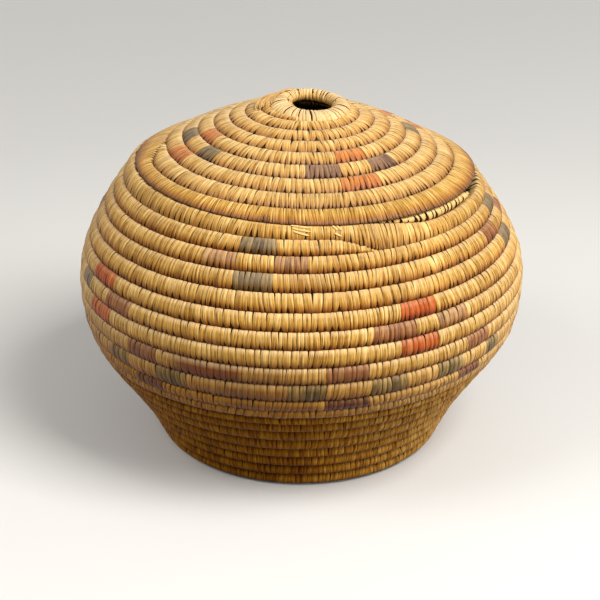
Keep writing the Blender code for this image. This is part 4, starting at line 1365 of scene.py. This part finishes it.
# Camera, as fitted to the photograph, floor, backdrop and lamps, in metres
CAMERA_PLACE = (0, -0.7103, 0.3988)
CAMERA_PITCH = radians(-24.92)
CAMERA_ROLL = radians(0.70)
CAMERA_LENS = 88.07              # mm, on a sensor 36 mm wide
FLOOR_SIZE = 6.0
FLOOR_ROUGHNESS = 0.9
FLOOR_BELOW = "#6B6154"          # the floor as the basket sees it, so that less light comes up
GLOW_REACH = (0.5, 2.2)          # where the floor begins to glow, and where it glows in full
GLOW = 0.5
BACKDROP_STRENGTH = 0.66
LAMP_SIZE = 0.6
LAMP_PLACES = {"key": (0.62, -0.48, 1.05), "fill": (-0.8, -0.4, 0.95), "side": (1.8, -0.85, 0.36)}


def seen_or_mirrored(tree):
    """1 where the camera sees a surface, straight or mirrored, and 0 where it only gives light."""
    rays = add_node(tree, "ShaderNodeLightPath", out=None)
    return add_node(tree, MATH, (rays["Is Camera Ray"], rays["Is Glossy Ray"]),
                    operation="MAXIMUM", use_clamp=True)


def matt_paper(colour):
    """Matt paper: dull and even.  Far from the lamps it glows, to meet the pale backdrop."""
    material = bpy.data.materials.new("matt_paper")
    material.use_nodes = True
    tree = material.node_tree
    inputs = tree.nodes["Principled BSDF"].inputs
    inputs["Roughness"].default_value = FLOOR_ROUGHNESS
    inputs["Emission Color"].default_value = colour
    shown = seen_or_mirrored(tree)
    shade = add_node(tree, MIX, {0: shown, 6: linear(FLOOR_BELOW), 7: colour}, 2,
                     data_type="RGBA")
    where = add_node(tree, COORDINATES, (), "Object")
    away = add_node(tree, VECTOR_MATH, (where,), "Value", operation="LENGTH")
    glow = add_node(tree, MAP_RANGE, (away, *GLOW_REACH, 0.0, GLOW))
    glow = add_node(tree, MATH, (glow, shown), operation="MULTIPLY")
    tree.links.new(shade, inputs["Base Color"])
    tree.links.new(glow, inputs["Emission Strength"])
    return material


def even_light(strength):
    """Even light all round, before a pale backdrop that is only seen and mirrored."""
    world = bpy.data.worlds.new("even_light")
    world.use_nodes = True
    tree = world.node_tree
    inputs = tree.nodes["Background"].inputs
    inputs["Color"].default_value = (1, 1, 1, 1)
    shown = seen_or_mirrored(tree)
    tree.links.new(add_node(tree, MAP_RANGE, (shown, 0.0, 1.0, strength, BACKDROP_STRENGTH)),
                   inputs["Strength"])
    return world


class BASKET_OT_set_stage(bpy.types.Operator):
    """Set up the floor, the lamps, the surrounding light and the camera"""
    bl_idname = "basket.set_stage"
    bl_label = "Set stage"

    def execute(self, context):
        scene, stage = context.scene, context.scene.stage_settings
        bpy.ops.mesh.primitive_plane_add(size=FLOOR_SIZE)
        floor = context.object
        floor.name = "floor"
        floor.data.materials.append(matt_paper(tuple(stage.floor_colour)))
        floor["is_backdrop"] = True
        scene.world = even_light(stage.sky_strength)
        for name, place in LAMP_PLACES.items():
            lamp = bpy.data.lights.new(name, "AREA")
            lamp.energy = getattr(stage, f"{name}_power")
            lamp.size = LAMP_SIZE
            holder = bpy.data.objects.new(name, lamp)
            holder.location = place
            holder.visible_camera = False
            aim = Vector((0, 0, BODY_HEIGHT / 2)) - Vector(place)
            holder.rotation_euler = aim.to_track_quat("-Z", "Y").to_euler()
            scene.collection.objects.link(holder)
        camera = bpy.data.cameras.new("camera")
        camera.lens = CAMERA_LENS
        holder = bpy.data.objects.new("camera", camera)
        holder.matrix_world = (Matrix.Translation(CAMERA_PLACE)
                               @ Matrix.Rotation(pi / 2 + CAMERA_PITCH, 4, "X")
                               @ Matrix.Rotation(CAMERA_ROLL, 4, "Z"))
        scene.collection.objects.link(holder)
        scene.camera = holder
        scene.view_settings.view_transform = "Standard"
        return {"FINISHED"}


class BASKET_PT_panel(bpy.types.Panel):
    """Sizes, colours and steps of the basket"""
    bl_idname = "BASKET_PT_panel"
    bl_label = "Coiled basket"
    bl_space_type = "VIEW_3D"
    bl_region_type = "UI"
    bl_category = "Basket"

    def draw(self, context):
        for step in STEPS:
            self.layout.operator(step.bl_idname)
        for group in (context.scene.basket_sizes, context.scene.grass_colours,
                      context.scene.stage_settings):
            box = self.layout.box()
            for name in group.__annotations__:
                box.prop(group, name)


STEPS = (BASKET_OT_wind_bundles, BASKET_OT_stitch_body, BASKET_OT_stitch_lid,
         BASKET_OT_wrap_rings, BASKET_OT_tie_strands, BASKET_OT_set_stage)
GROUPS = (("basket_sizes", BasketSizes), ("grass_colours", GrassColours),
          ("stage_settings", StageSettings))


def register():
    for name, group in GROUPS:
        bpy.utils.register_class(group)
        setattr(bpy.types.Scene, name, bpy.props.PointerProperty(type=group))
    for step in STEPS:
        bpy.utils.register_class(step)
    bpy.utils.register_class(BASKET_PT_panel)


def unregister():
    bpy.utils.unregister_class(BASKET_PT_panel)
    for step in reversed(STEPS):
        bpy.utils.unregister_class(step)
    for name, group in reversed(GROUPS):
        delattr(bpy.types.Scene, name)
        bpy.utils.unregister_class(group)


def main():
    register()
    bpy.ops.basket.set_stage()
    bpy.ops.basket.wind_bundles()
    bpy.ops.basket.stitch_body()
    bpy.ops.basket.stitch_lid()
    bpy.ops.basket.wrap_rings()
    bpy.ops.basket.tie_strands()
    for form in [item for item in bpy.data.objects if item.name.startswith("stitch_form")]:
        bpy.data.objects.remove(form)
    boxes = {"cad_box": MODEL_BOX, "visual_box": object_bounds()}
    {name: [list(corner) for corner in box] for name, box in boxes.items()}


if __name__ == "__main__":
    main()
